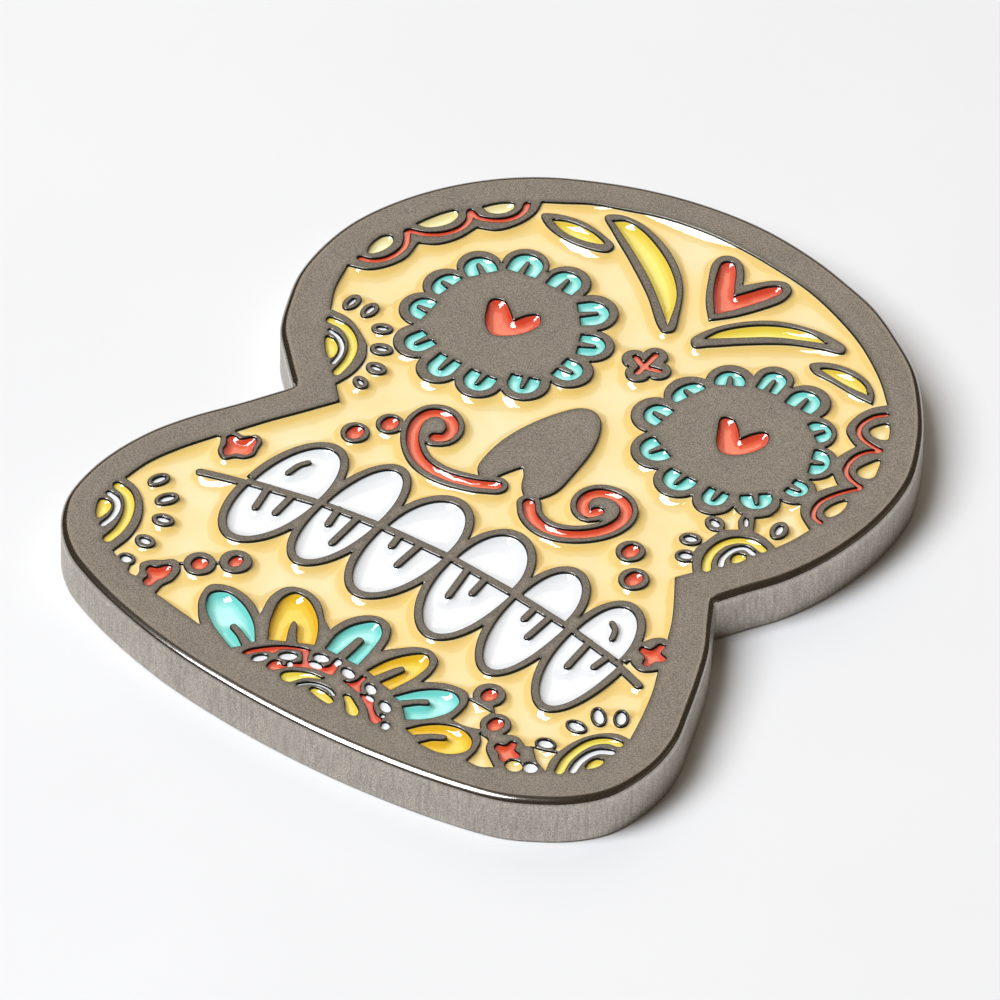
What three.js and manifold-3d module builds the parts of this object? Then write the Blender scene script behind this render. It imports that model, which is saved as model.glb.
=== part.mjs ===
// Soft-enamel lapel pin: a die-struck skull badge with two posts and two butterfly clutches.
// Millimetres. +X to the right as seen from the front, +Y to the crown, +Z out of the enamel.
// The origin is in the middle of the plate's flat back.
import * as THREE from "three";
import { mergeVertices } from "three/addons/utils/BufferGeometryUtils.js";
import Module from "manifold-3d";

const wasm = await Module();
wasm.setup();

// ---- driving dimensions ----
const PLATE_THICKNESS = 2.5;
const EDGE_ROUND = 0.3; // rounding of the rim's front edge
const POCKET_DEPTH = 0.5; // die-struck recess under the enamel
const ENAMEL_DROP = 0.15; // enamel face below the metal line tops
const FIT = 0.03; // gap between an enamel fill and its pocket
const CURVE_STEP = 0.85; // longest straight bit of a drawn curve

const TOOTH_LINE = 0.42; // metal line round each tooth
const SCROLL_WIDTH = 0.52;
const SCROLL_LINE = 0.29;
const ROOT_WIDTH = 0.36;
const GLINT_WIDTH = 0.3;
const BITE_GAP = 0.6;
const BITE_WIDTH = 0.4;
const SUN_WIDTH = 0.4;
const CROSS_WIDTH = 0.28;
const CLOVER = [0.13, 8.8, 1.24, 0.8]; // x, y, lobe radius, waist radius
const SCALLOP_WIDTHS = [0.27, 0.22];

const POST_X = 7;
const POST_Y = 0.5;
const POST_LENGTH = 8;
const POST_RADIUS = 0.58;
const POST_NECK_RADIUS = 0.42;
const POST_PAD_RADIUS = 1.3;
const POST_PAD_HEIGHT = 0.45;
const SEAT = 0.02; // bond line under an enamel fill or a post pad

const SHEET = 0.35; // clutch sheet metal
const CLUTCH_GAP = 1; // cloth held between plate and clutch
const FLANGE_RADIUS = 5.5;
const LIP_DROP = 0.75; // turned-down edge of the flange
const DOME_RADIUS = 2.7;
const DOME_HEIGHT = 2.7;
const CLUTCH_HOLE_RADIUS = 0.85;
const SLOT_WIDTH = 2.6;
const SLOT_TOP = -2.2;
const SLOT_FOOT = -3.25;
const WING_SHEET = 0.3;
const WING_WIDTH = 2.1; // at the jaw and the slot
const LOBE_RADIUS = 2.6; // thumb end of a wing
const CLUTCH_FOOT = -8.4; // lowest point of the wings
const JAW_GAP = 0.06; // jaw to post
// Side view of a wing, as distance from the post axis and height.
const WING_LINE = [
  [POST_RADIUS + JAW_GAP + WING_SHEET / 2, -2.1], [1.5, -2.2], [2.5, -2.72], [3.4, -3.5], [4.2, -4.7],
  [4.5, -6.2], [4.25, -7.6], [3.9, -8.5],
];

// ---- finishes ----
const finish = (color, roughness, metalness) =>
  new THREE.MeshStandardMaterial({ color, roughness, metalness });
const BLACK_NICKEL = finish(0x6b655f, 0.38, 0.9);
const NICKEL = finish(0xb9b6b0, 0.3, 1);
const ENAMEL = {
  cream: finish(0xf6dd94, 0.18, 0),
  white: finish(0xf4f5f6, 0.15, 0),
  red: finish(0xe2503c, 0.15, 0),
  teal: finish(0x5fd8cc, 0.15, 0),
  yellow: finish(0xf6d748, 0.15, 0),
  orange: finish(0xeeac24, 0.15, 0),
};

// ---- plane curves: lists of [x, y]; a third value marks a sharp corner ----
function smooth(points, closed) {
  const knots = points.map(([x, y]) => new THREE.Vector3(x, y, 0));
  const curve = new THREE.CatmullRomCurve3(knots, closed, "centripetal");
  const spans = closed ? points.length : points.length - 1;
  const out = [];
  for (let i = 0; i < spans; i++) {
    const [a, b] = [points[i], points[(i + 1) % points.length]];
    const n = Math.max(1, Math.round(Math.hypot(a[0] - b[0], a[1] - b[1]) / CURVE_STEP));
    for (let k = 0; k < n; k++) {
      const p = curve.getPoint((i + k / n) / spans);
      out.push([p.x, p.y]);
    }
  }
  if (!closed) out.push(points.at(-1).slice(0, 2));
  return out;
}

function outline(points) {
  const corners = points.map((p, i) => (p.length > 2 ? i : -1)).filter((i) => i >= 0);
  if (!corners.length) return smooth(points, true);
  const out = [];
  corners.forEach((from, k) => {
    const to = k + 1 < corners.length ? corners[k + 1] : corners[0] + points.length;
    const span = [];
    for (let i = from; i <= to; i++) span.push(points[i % points.length]);
    out.push(...smooth(span, false).slice(0, -1));
  });
  return out;
}

// Circular arc from a through b to c, without its last point.
function arc([ax, ay], [bx, by], [cx, cy]) {
  const d = 2 * (ax * (by - cy) + bx * (cy - ay) + cx * (ay - by));
  const [a2, b2, c2] = [ax * ax + ay * ay, bx * bx + by * by, cx * cx + cy * cy];
  const x = (a2 * (by - cy) + b2 * (cy - ay) + c2 * (ay - by)) / d;
  const y = (a2 * (cx - bx) + b2 * (ax - cx) + c2 * (bx - ax)) / d;
  const r = Math.hypot(ax - x, ay - y);
  const turn = (t) => THREE.MathUtils.euclideanModulo(t, 2 * Math.PI);
  const [ta, tb, tc] = [Math.atan2(ay - y, ax - x), Math.atan2(by - y, bx - x), Math.atan2(cy - y, cx - x)];
  const sweep = turn(tb - ta) < turn(tc - ta) ? turn(tc - ta) : -turn(ta - tc);
  const n = Math.max(3, Math.round((Math.abs(sweep) * r) / CURVE_STEP));
  return Array.from({ length: n }, (_, k) => {
    const t = ta + (sweep * k) / n;
    return [x + r * Math.cos(t), y + r * Math.sin(t)];
  });
}

// Closed chain of arcs through cusp, crest, cusp, crest, ...
function scallops(points) {
  const out = [];
  for (let i = 0; i < points.length; i += 2) {
    out.push(...arc(points[i], points[i + 1], points[(i + 2) % points.length]));
  }
  return out;
}

// Round-ended band along a centre line.
function stroke(points, width) {
  const line = smooth(points, false);
  const r = width / 2;
  const side = (sign) => line.map(([x, y], i) => {
    const [a, b] = [line[Math.max(i - 1, 0)], line[Math.min(i + 1, line.length - 1)]];
    const [dx, dy] = [b[0] - a[0], b[1] - a[1]];
    const l = Math.hypot(dx, dy);
    return [x - (sign * dy * r) / l, y + (sign * dx * r) / l];
  });
  const tip = ([x, y], [px, py]) => {
    const l = Math.hypot(x - px, y - py);
    return [x + ((x - px) * r) / l, y + ((y - py) * r) / l];
  };
  return [...side(1), tip(line.at(-1), line.at(-2)), ...side(-1).reverse(), tip(line[0], line[1])];
}

function oval(x, y, rx, ry = rx, tilt = 0, sides = 8) {
  const a = THREE.MathUtils.degToRad(tilt);
  return Array.from({ length: sides }, (_, k) => {
    const t = (2 * Math.PI * k) / sides;
    const [u, v] = [rx * Math.cos(t), ry * Math.sin(t)];
    return [x + u * Math.cos(a) - v * Math.sin(a), y + u * Math.sin(a) + v * Math.cos(a)];
  });
}

// Four-lobed clover, lobes along X and Y.
function clover(x, y, lobe, waist) {
  const sides = 16;
  return Array.from({ length: sides }, (_, k) => {
    const t = (2 * Math.PI * k) / sides;
    const r = waist + (lobe - waist) * Math.abs(Math.cos(2 * t)) ** 0.8;
    return [x + r * Math.cos(t), y + r * Math.sin(t)];
  });
}

// Half an ellipse on the sloping line from (left, yLeft) to (right, yRight), leaning to its apex.
function toothHalf([left, right, apex, yLeft, yRight], grow = 0) {
  const [cx, rx] = [(left + right) / 2, (right - left) / 2 + grow];
  const base = (yLeft + yRight) / 2;
  const height = apex[1] - base + Math.sign(apex[1] - base) * grow;
  const n = 8;
  return Array.from({ length: n + 1 }, (_, k) => {
    const t = (Math.PI * k) / n;
    const x = cx - rx * Math.cos(t) + (apex[0] - cx) * Math.sin(t) ** 2;
    return [x, yLeft + ((yRight - yLeft) * k) / n + height * Math.sin(t)];
  });
}

// ---- solids ----
const shape = (points) => new THREE.Shape(points.map(([x, y]) => new THREE.Vector2(x, y)));

function slab(points, bottom, top) {
  const geometry = new THREE.ExtrudeGeometry(shape(points), { depth: top - bottom, bevelEnabled: false });
  return geometry.translate(0, 0, bottom);
}

// Closed body through outlines with the same number of points, given with their heights.
function loft(levels) {
  const outlines = levels.map(([points]) => points.map(([x, y]) => new THREE.Vector2(x, y)));
  const ccw = THREE.ShapeUtils.area(outlines[0]) > 0;
  const n = outlines[0].length;
  const position = levels.flatMap(([points, z]) => points.flatMap(([x, y]) => [x, y, z]));
  const index = [];
  const face = (a, b, c) => index.push(...(ccw ? [a, b, c] : [a, c, b]));
  for (let level = 0; level + 1 < levels.length; level++) {
    for (let i = 0; i < n; i++) {
      const [a, b] = [level * n + i, level * n + ((i + 1) % n)];
      face(a, b, b + n);
      face(a, b + n, a + n);
    }
  }
  const top = (levels.length - 1) * n;
  for (const [a, b, c] of THREE.ShapeUtils.triangulateShape(outlines[0], [])) index.push(a, c, b);
  for (const [a, b, c] of THREE.ShapeUtils.triangulateShape(outlines.at(-1), [])) {
    index.push(top + a, top + b, top + c);
  }
  const geometry = new THREE.BufferGeometry();
  geometry.setAttribute("position", new THREE.Float32BufferAttribute(position, 3));
  return geometry.setIndex(index);
}

// Moves every side of an outline inwards by a small distance.
function shrink(points, distance) {
  const sign = THREE.ShapeUtils.area(points.map(([x, y]) => new THREE.Vector2(x, y))) > 0 ? 1 : -1;
  return points.map(([x, y], i) => {
    const [a, b] = [points.at(i - 1), points[(i + 1) % points.length]];
    const [l1, l2] = [Math.hypot(x - a[0], y - a[1]), Math.hypot(b[0] - x, b[1] - y)];
    const n1 = [(-(y - a[1]) / l1) * sign, ((x - a[0]) / l1) * sign];
    const n2 = [(-(b[1] - y) / l2) * sign, ((b[0] - x) / l2) * sign];
    const scale = distance / Math.max(0.35, 1 + n1[0] * n2[0] + n1[1] * n2[1]);
    return [x + (n1[0] + n2[0]) * scale, y + (n1[1] + n2[1]) * scale];
  });
}

function solid(geometry) {
  const bare = geometry.index ? geometry.toNonIndexed() : geometry.clone();
  bare.deleteAttribute("normal");
  bare.deleteAttribute("uv");
  const merged = mergeVertices(bare, 1e-5);
  const vertProperties = new Float32Array(merged.attributes.position.array);
  const triVerts = new Uint32Array(merged.index.array);
  return new wasm.Manifold(new wasm.Mesh({ numProp: 3, vertProperties, triVerts }));
}

function geometryOf(manifold) {
  const { vertProperties, triVerts } = manifold.getMesh();
  const geometry = new THREE.BufferGeometry();
  geometry.setAttribute("position", new THREE.BufferAttribute(new Float32Array(vertProperties), 3));
  geometry.setIndex(new THREE.BufferAttribute(new Uint32Array(triVerts), 1));
  return geometry;
}

const join = (solids) => solids.reduce((a, b) => a.add(b));

const pin = new THREE.Group();
function place(name, geometry, material, parent = pin) {
  const mesh = new THREE.Mesh(geometry, material);
  mesh.name = name;
  parent.add(mesh);
  return mesh;
}

// ---- artwork, seen from the front ----
// Outer edge, with a sharp notch at each cheek.
const PLATE = [
  [-0.8, 19.35], [2.05, 19.08], [4.06, 18.62], [6.08, 18.0], [8.08, 16.93], [10.06, 15.57], [12.0, 13.36],
  [13.0, 11.8], [13.85, 10.0], [14.2, 8.4], [14.3, 6.9], [14.2, 5.2], [13.8, 3.1], [13.1, 1.15],
  [12.15, -0.5], [11.47, -1.75, 1], [12.2, -2.95], [13.1, -4.4], [13.85, -6.0], [14.65, -8.0],
  [15.3, -9.8], [15.53, -11.4], [15.4, -13.0], [14.95, -14.5], [14.0, -15.75], [12.7, -16.75],
  [11.2, -17.55], [8.6, -18.2], [5.5, -18.65], [2, -18.9], [-2, -18.85], [-6, -18.45], [-9, -17.8],
  [-11.5, -17.0], [-13.3, -16.15], [-14.6, -14.95], [-15.45, -13.4], [-15.72, -11.6], [-15.6, -9.7],
  [-15.05, -7.6], [-14.2, -5.8], [-13.0, -3.85], [-11.72, -1.6, 1], [-13.2, -0.2], [-14.4, 1.05],
  [-15.3, 2.8], [-15.95, 4.6], [-16.18, 6.8], [-16.0, 8.8], [-15.3, 10.9], [-14.2, 12.9], [-12.7, 14.75],
  [-11.0, 16.2], [-9.0, 17.35], [-6.5, 18.4], [-3.7, 19.1],
];

// Edge of the big enamel field. Islands of metal stand across it.
const FIELD = [
  [-9.9, 14.72, 1], [-9.0, 15.3], [-8.0, 15.95], [-6.5, 16.55], [-5.0, 17.08], [-3.0, 17.45],
  [-1.0, 17.52], [1.0, 17.38], [3.0, 17.08], [5.0, 16.45], [7.0, 15.55], [9.0, 14.2], [10.25, 13.05, 1],
  [9.75, 12.35], [9.55, 11.4], [9.7, 10.65], [10.2, 10.25], [10.7, 10.03, 1], [10.55, 9.5],
  [10.42, 8.9, 1], [8.6, 7.0, 1], [8.0, 3.2, 1], [8.6, 2.4, 1], [9.03, 1.9, 1], [8.95, 1.2], [8.85, 0.4],
  [9.2, -0.35], [9.63, -0.9, 1], [9.18, -1.62, 1], [9.95, -2.75], [10.7, -3.95], [11.2, -4.95, 1],
  [11.9, -6.0, 1], [12.1, -6.95, 1], [12.65, -8.1], [13.25, -9.8], [13.63, -11.15, 1], [12.95, -11.22],
  [12.35, -11.68], [11.93, -12.3], [11.7, -13.0], [11.6, -13.6, 1], [10.9, -13.7, 1], [9.8, -14.6, 1],
  [8.4, -13.9, 1], [7.05, -12.6, 1], [5.6, -14.2, 1], [2.8, -13.6, 1], [0.4, -13.3, 1], [-2.7, -13.9, 1],
  [-5.0, -15.2, 1], [-5.85, -16.5, 1], [-7.2, -16.28], [-8.62, -16.05, 1], [-9.2, -15.3, 1],
  [-9.85, -15.68, 1], [-10.3, -15.68], [-10.5, -15.3, 1], [-11.0, -15.0, 1], [-11.35, -15.15, 1],
  [-11.68, -15.0, 1], [-11.6, -13.8], [-11.9, -12.6], [-12.55, -11.65], [-13.3, -11.1],
  [-14.05, -10.9, 1], [-13.85, -9.5], [-13.3, -8.0], [-12.4, -6.25, 1], [-11.6, -6.2, 1],
  [-11.95, -5.55, 1], [-11.2, -4.2], [-10.3, -2.75], [-9.4, -1.25, 1], [-10.2, -0.45, 1], [-10.0, 0.6],
  [-10.15, 1.7], [-10.6, 2.45, 1], [-11.4, 2.97], [-12.3, 3.37], [-13.3, 3.38, 1], [-13.95, 4.6],
  [-14.4, 6.15, 1], [-13.5, 6.48], [-12.95, 7.15], [-12.62, 8.1], [-12.75, 9.22, 1], [-12.0, 9.68],
  [-11.5, 10.5], [-11.25, 11.6, 1], [-10.4, 12.02], [-9.9, 12.85], [-9.7, 13.9],
];

// Small cells cut off from the field beside the right eye.
const SIDE_CELLS = [
  [
    [10.85, 8.0, 1], [11.15, 7.75], [11.5, 7.5, 1], [11.2, 7.0], [11.0, 6.6, 1], [10.7, 6.85],
    [10.3, 7.05, 1], [10.6, 7.45],
  ],
  [
    [10.9, 5.52, 1], [11.25, 5.0], [12.18, 4.4, 1], [11.98, 3.5], [11.65, 2.55, 1], [11.0, 2.8],
    [10.25, 2.85, 1], [9.8, 3.62, 1], [10.25, 4.1], [10.2, 4.7], [9.98, 5.25, 1], [10.5, 5.38],
  ],
  [
    [8.6, 3.65, 1], [9.2, 3.45, 1], [9.3, 3.0], [9.65, 2.55, 1], [9.15, 2.15, 1], [8.8, 2.5],
    [8.22, 2.75, 1], [8.48, 3.15],
  ],
];

// Metal nose, a pointed arch with two lobes below.
const NOSE = [
  [0.0, 4.95], [0.6, 4.68], [1.1, 3.95], [1.5, 2.8], [1.72, 1.2], [1.78, -0.3], [1.45, -1.1],
  [1.1, -1.6, 1], [0.75, -1.35, 1], [0.3, -0.9], [-0.05, -0.25], [-0.35, 0.12, 1], [-0.6, -0.35],
  [-0.9, -1.05, 1], [-1.3, -1.7, 1], [-1.95, -1.1], [-2.15, 0.0], [-2.08, 1.3], [-1.75, 2.6],
  [-1.2, 3.85], [-0.6, 4.72],
];

// Forehead heart and the hearts in the eyes.
const HEART_RIM = [
  [0.55, 15.6, 1], [0.1, 16.3], [-0.35, 16.75], [-0.9, 16.88], [-1.35, 16.6], [-1.42, 16.0],
  [-0.95, 15.0], [-0.2, 13.75], [0.65, 12.8, 1], [1.4, 13.65], [2.15, 14.85], [2.58, 15.85], [2.5, 16.6],
  [2.05, 16.9], [1.5, 16.7], [1.0, 16.15],
];
const HEART = [
  [0.62, 14.75, 1], [0.15, 15.5], [-0.3, 16.2], [-0.72, 16.55], [-1.05, 16.3], [-0.85, 15.6],
  [-0.2, 14.4], [0.65, 13.3, 1], [1.35, 14.35], [1.95, 15.5], [2.18, 16.2], [1.95, 16.52], [1.5, 16.2],
  [1.0, 15.4],
];
const EYE_HEARTS = [
  [
    [-6.33, 7.6, 1], [-6.85, 8.05], [-7.45, 8.42], [-7.9, 8.15], [-7.65, 7.4], [-7.1, 6.62],
    [-6.55, 6.33], [-5.95, 6.65], [-5.4, 7.35], [-5.25, 8.1], [-5.65, 8.57], [-6.05, 8.2],
  ],
  [
    [6.27, 7.3, 1], [5.8, 7.85], [5.25, 8.2], [4.85, 8.0], [5.2, 7.2], [5.65, 6.5], [6.15, 6.15],
    [6.75, 6.4], [7.3, 7.15], [7.4, 7.9], [7.0, 8.37], [6.6, 8.0],
  ],
];

// Leaves: metal rim, then enamel.
const LEAVES = [
  [
    [
      [-9.45, 14.05], [-8.8, 14.5], [-7.6, 14.76], [-6.4, 14.58], [-5.6, 14.28], [-5.6, 13.8],
      [-6.6, 13.42], [-7.8, 13.34], [-8.9, 13.6],
    ],
    [
      [-8.85, 14.05, 1], [-8.2, 14.38], [-7.5, 14.48], [-6.7, 14.4], [-6.05, 14.12], [-6.7, 13.8],
      [-7.6, 13.68], [-8.3, 13.78],
    ],
  ],
  [
    [
      [-7.1, 15.65], [-6.6, 16.1], [-5.6, 16.22], [-4.0, 15.78], [-2.6, 14.95], [-1.5, 13.85],
      [-0.65, 12.4], [-0.2, 11.3], [-0.5, 10.98], [-1.0, 11.2], [-2.5, 12.5], [-4.5, 13.9], [-6.2, 14.98],
    ],
    [
      [-6.62, 15.6, 1], [-6.1, 15.97], [-5.2, 15.87], [-3.7, 15.22], [-2.4, 14.32], [-1.4, 13.2],
      [-0.62, 11.45, 1], [-1.6, 12.3], [-3.1, 13.48], [-5.0, 14.68],
    ],
  ],
  [
    [
      [0.75, 11.3], [1.1, 12.5], [2.0, 13.7], [3.2, 14.62], [4.6, 15.08], [5.8, 15.17], [6.6, 15.0],
      [6.72, 14.62], [5.8, 14.28], [4.5, 13.7], [3.0, 12.6], [1.7, 11.45], [1.15, 11.0],
    ],
    [
      [1.2, 11.72, 1], [1.45, 12.5], [2.4, 13.68], [3.6, 14.5], [4.8, 14.85], [5.8, 14.7, 1], [4.9, 14.3],
      [3.6, 13.62], [2.3, 12.6],
    ],
  ],
  [
    [
      [5.93, 13.15], [6.5, 13.7], [7.6, 13.98], [8.6, 13.82], [9.35, 13.3], [9.7, 12.7, 1], [8.8, 12.68],
      [7.4, 12.8], [6.3, 12.85],
    ],
    [[6.5, 13.2], [7.1, 13.6], [7.9, 13.7], [8.7, 13.48], [9.15, 13.05, 1], [8.2, 13.0], [7.2, 13.08]],
  ],
];

// Scalloped eye rings: cusp, crest, cusp, crest, ...
const EYE_RINGS = [
  [
    [-9.0, 10.38], [-8.05, 11.95], [-6.98, 11.1], [-6.0, 12.12], [-4.78, 10.78], [-3.5, 11.25],
    [-2.92, 9.3], [-1.58, 8.7], [-2.02, 7.45], [-1.33, 6.15], [-2.65, 5.38], [-2.85, 3.7], [-4.15, 3.65],
    [-5.2, 2.42], [-6.2, 3.0], [-7.1, 2.12], [-8.2, 3.2], [-9.55, 3.05], [-9.75, 4.75], [-11.1, 5.9],
    [-10.6, 6.75], [-11.15, 7.9], [-10.3, 8.8], [-10.5, 10.15],
  ],
  [
    [6.18, 11.4], [7.2, 12.14], [8.33, 10.62], [9.45, 10.3], [9.65, 9.15], [10.85, 8.35], [10.3, 7.05],
    [11.1, 6.0], [10.02, 5.22], [9.8, 3.6], [8.6, 3.62], [7.7, 2.5], [6.72, 3.15], [5.65, 2.45],
    [4.5, 3.6], [3.3, 3.48], [2.72, 5.28], [1.25, 6.45], [2.0, 7.5], [1.85, 9.0], [2.78, 9.6],
    [3.5, 11.18], [4.4, 11.02], [5.25, 12.25],
  ],
];

// Tooth crowns and roots: left, right, apex, height at the left, height at the right.
const TEETH = [
  [[-9.4, -6.4, [-7.85, -4.03], -7.62, -6.93], [-9.42, -6.35, [-7.95, -10.9], -8.05, -7.35]],
  [[-5.95, -3.42, [-4.7, -3.43], -6.85, -6.5], [-5.98, -3.38, [-4.75, -10.42], -7.2, -6.92]],
  [[-2.9, 0.2, [-1.35, -3.58], -6.45, -6.3], [-2.97, 0.27, [-1.42, -10.52], -6.85, -6.72]],
  [[0.75, 3.85, [2.1, -3.76], -6.3, -6.45], [0.7, 4.05, [2.65, -10.78], -6.68, -6.88]],
  [[4.45, 6.95, [5.55, -4.13], -6.5, -6.77], [4.38, 7.2, [6.05, -11.15], -6.9, -7.15]],
  [[7.7, 10.28, [8.8, -4.48], -6.88, -7.35], [7.65, 10.5, [9.35, -11.52], -7.22, -7.75]],
];

// Metal lines in and beside the teeth.
const ROOTS = [
  [[-8.62, -7.6], [-8.32, -9.0]],
  [[-7.45, -7.4], [-7.4, -8.75]],
  [[-5.3, -6.9], [-5.1, -7.95]],
  [[-4.28, -6.8], [-4.25, -8.82]],
  [[-2.12, -6.7], [-2.02, -7.42]],
  [[-1.05, -6.55], [-1.1, -8.25]],
  [[1.55, -6.55], [1.88, -8.5]],
  [[2.55, -6.65], [2.62, -7.75]],
  [[5.4, -6.85], [5.42, -7.7]],
  [[6.28, -6.95], [6.22, -8.55]],
  [[8.6, -7.2], [8.72, -9.02]],
  [[9.8, -7.5], [9.68, -8.35]],
];
const GLINTS = [
  [[-8.15, -5.28], [-8.38, -5.7], [-8.48, -6.35]],
  [[8.68, -5.62], [9.05, -5.9], [9.27, -6.45]],
];
const BITE_ENDS = [
  [[-9.6, -8.0], [-10.6, -8.28], [-11.65, -8.62]],
  [[10.4, -7.65], [11.2, -7.9], [11.95, -8.15]],
];

// Moustache scrolls: centre line, then x, y and radius of the metal under the curl.
const SCROLLS = [
  [
    [
      [-0.62, -1.52], [-1.4, -1.95], [-2.4, -2.28], [-3.3, -2.38], [-4.25, -2.2], [-5.05, -1.65],
      [-5.6, -0.95], [-5.86, -0.15], [-5.72, 0.5], [-5.2, 0.82], [-4.62, 0.62], [-4.27, 0.1],
      [-4.3, -0.38], [-4.62, -0.62],
    ],
    [-5.0, -0.05, 0.75],
  ],
  [
    [
      [1.22, -1.6], [1.7, -2.12], [2.4, -2.42], [3.2, -2.4], [4.0, -2.02], [4.65, -1.42], [5.05, -0.75],
      [5.17, -0.05], [4.98, 0.55], [4.55, 0.92], [4.0, 1.02], [3.42, 0.85], [3.08, 0.4], [3.1, -0.1],
      [3.4, -0.48], [3.78, -0.52], [3.98, -0.2],
    ],
    [4.15, 0.1, 0.8],
  ],
];

// Cross in a clover.
const CROSS = [[[0.08, 9.58], [0.1, 8.12]], [[-0.55, 8.92], [0.1, 8.66], [0.82, 8.8]]];

// Dots: x, y, rim radius, enamel half width and half height.
const DOTS = [
  [-6.75, -1.1, 0.64, 0.36, 0.47], [-7.65, -2.48, 0.66, 0.36, 0.46], [6.64, -1.42, 0.67, 0.35, 0.46],
  [7.8, -2.78, 0.7, 0.36, 0.48], [-6.92, -12.33, 0.74, 0.28, 0.38], [-8.12, -13.38, 0.73, 0.35, 0.41],
  [7.06, -12.55, 0.74, 0.33, 0.42], [8.38, -13.9, 0.7, 0.33, 0.44],
];

// Cheek and jaw flowers: enamel, then metal rim.
const FLOWERS = [
  [
    [
      [-11.05, -5.38], [-10.78, -5.6], [-10.7, -5.95], [-10.55, -6.3], [-10.72, -6.58], [-11.05, -6.7],
      [-11.35, -7.1], [-11.68, -6.85], [-11.78, -6.45], [-12.02, -6.1], [-11.85, -5.82], [-11.5, -5.85],
      [-11.25, -5.6],
    ],
    [
      [-11.0, -5.2], [-10.6, -5.4], [-10.48, -5.85], [-10.36, -6.35], [-10.58, -6.75], [-10.95, -6.95],
      [-11.3, -7.33], [-11.8, -7.1], [-12.05, -6.6], [-12.35, -6.0], [-11.95, -5.6], [-11.5, -5.6],
    ],
  ],
  [
    [
      [11.3, -5.42], [11.5, -5.9], [11.95, -6.15], [11.65, -6.5], [11.42, -6.98], [11.15, -6.55],
      [10.62, -6.22], [11.05, -5.98],
    ],
    [
      [11.2, -5.05], [10.75, -5.3], [10.45, -5.85], [10.15, -6.3], [10.55, -6.95], [10.95, -7.25],
      [11.5, -7.36], [11.9, -7.1], [12.2, -6.6], [12.0, -5.6],
    ],
  ],
  [
    [
      [-9.05, -14.22], [-8.85, -14.6], [-8.83, -15.05], [-9.0, -15.35], [-8.98, -15.72], [-9.22, -15.92],
      [-9.48, -15.72], [-9.48, -15.35], [-9.78, -15.12], [-9.8, -14.82], [-9.5, -14.7], [-9.3, -14.4],
    ],
    [
      [-9.15, -13.82], [-8.62, -14.1], [-8.43, -14.95], [-8.6, -15.5], [-8.6, -16.3], [-9.3, -16.6],
      [-9.85, -15.9], [-9.95, -15.4], [-10.22, -14.95], [-10.0, -14.5], [-9.6, -14.2],
    ],
  ],
  [
    [
      [9.7, -14.3], [9.95, -14.68], [10.4, -14.92], [10.1, -15.25], [9.95, -15.6], [9.6, -15.3],
      [9.15, -14.98], [9.5, -14.7],
    ],
    [
      [9.65, -13.95], [10.3, -14.28], [10.9, -14.7], [10.9, -15.6], [10.0, -16.1], [9.5, -15.68],
      [9.0, -15.3], [8.75, -14.75], [9.1, -14.15],
    ],
  ],
];

// Suns: gold arc, and rays as x, y, half length, half width, tilt.
const SUNS = [
  {
    gold: [[-12.88, 2.78], [-12.2, 2.8], [-11.5, 2.45], [-10.98, 1.85], [-10.7, 1.05], [-10.63, 0.2]],
    rays: [
      [-12.82, 4.3, 0.56, 0.36, 90], [-11.87, 4.35, 0.54, 0.36, 88], [-10.7, 3.7, 0.5, 0.36, 28],
      [-9.93, 2.6, 0.54, 0.39, 22], [-9.38, 1.45, 0.51, 0.38, 5], [-9.4, 0.3, 0.44, 0.34, -25],
    ],
  },
  {
    gold: [
      [11.25, 2.12], [10.65, 2.25], [10.0, 1.95], [9.62, 1.35], [9.56, 0.6], [9.75, 0.0], [9.98, -0.35],
    ],
    rays: [
      [11.12, 3.57, 0.58, 0.41, -75], [8.58, 2.25, 0.53, 0.42, -20], [8.3, 0.8, 0.52, 0.4, 22],
      [8.76, -0.2, 0.5, 0.4, 25],
    ],
  },
  {
    gold: [
      [-14.02, -11.5], [-13.45, -11.65], [-12.9, -12.15], [-12.48, -12.95], [-12.3, -13.8],
      [-12.33, -14.5],
    ],
    rays: [
      [-12.8, -10.12, 0.56, 0.37, 68], [-11.77, -10.9, 0.58, 0.38, 58], [-11.1, -12.08, 0.53, 0.39, 15],
      [-10.92, -13.65, 0.5, 0.4, 0], [-10.9, -15.07, 0.44, 0.4, 0],
    ],
  },
  {
    gold: [
      [13.42, -11.68], [12.95, -11.78], [12.45, -12.25], [12.2, -13.0], [12.17, -13.9], [12.35, -14.62],
    ],
    rays: [
      [12.55, -10.3, 0.56, 0.36, -58], [11.7, -10.8, 0.62, 0.36, -46], [11.28, -11.88, 0.54, 0.37, 0],
      [10.85, -13.58, 0.5, 0.39, 12],
    ],
  },
];

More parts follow.
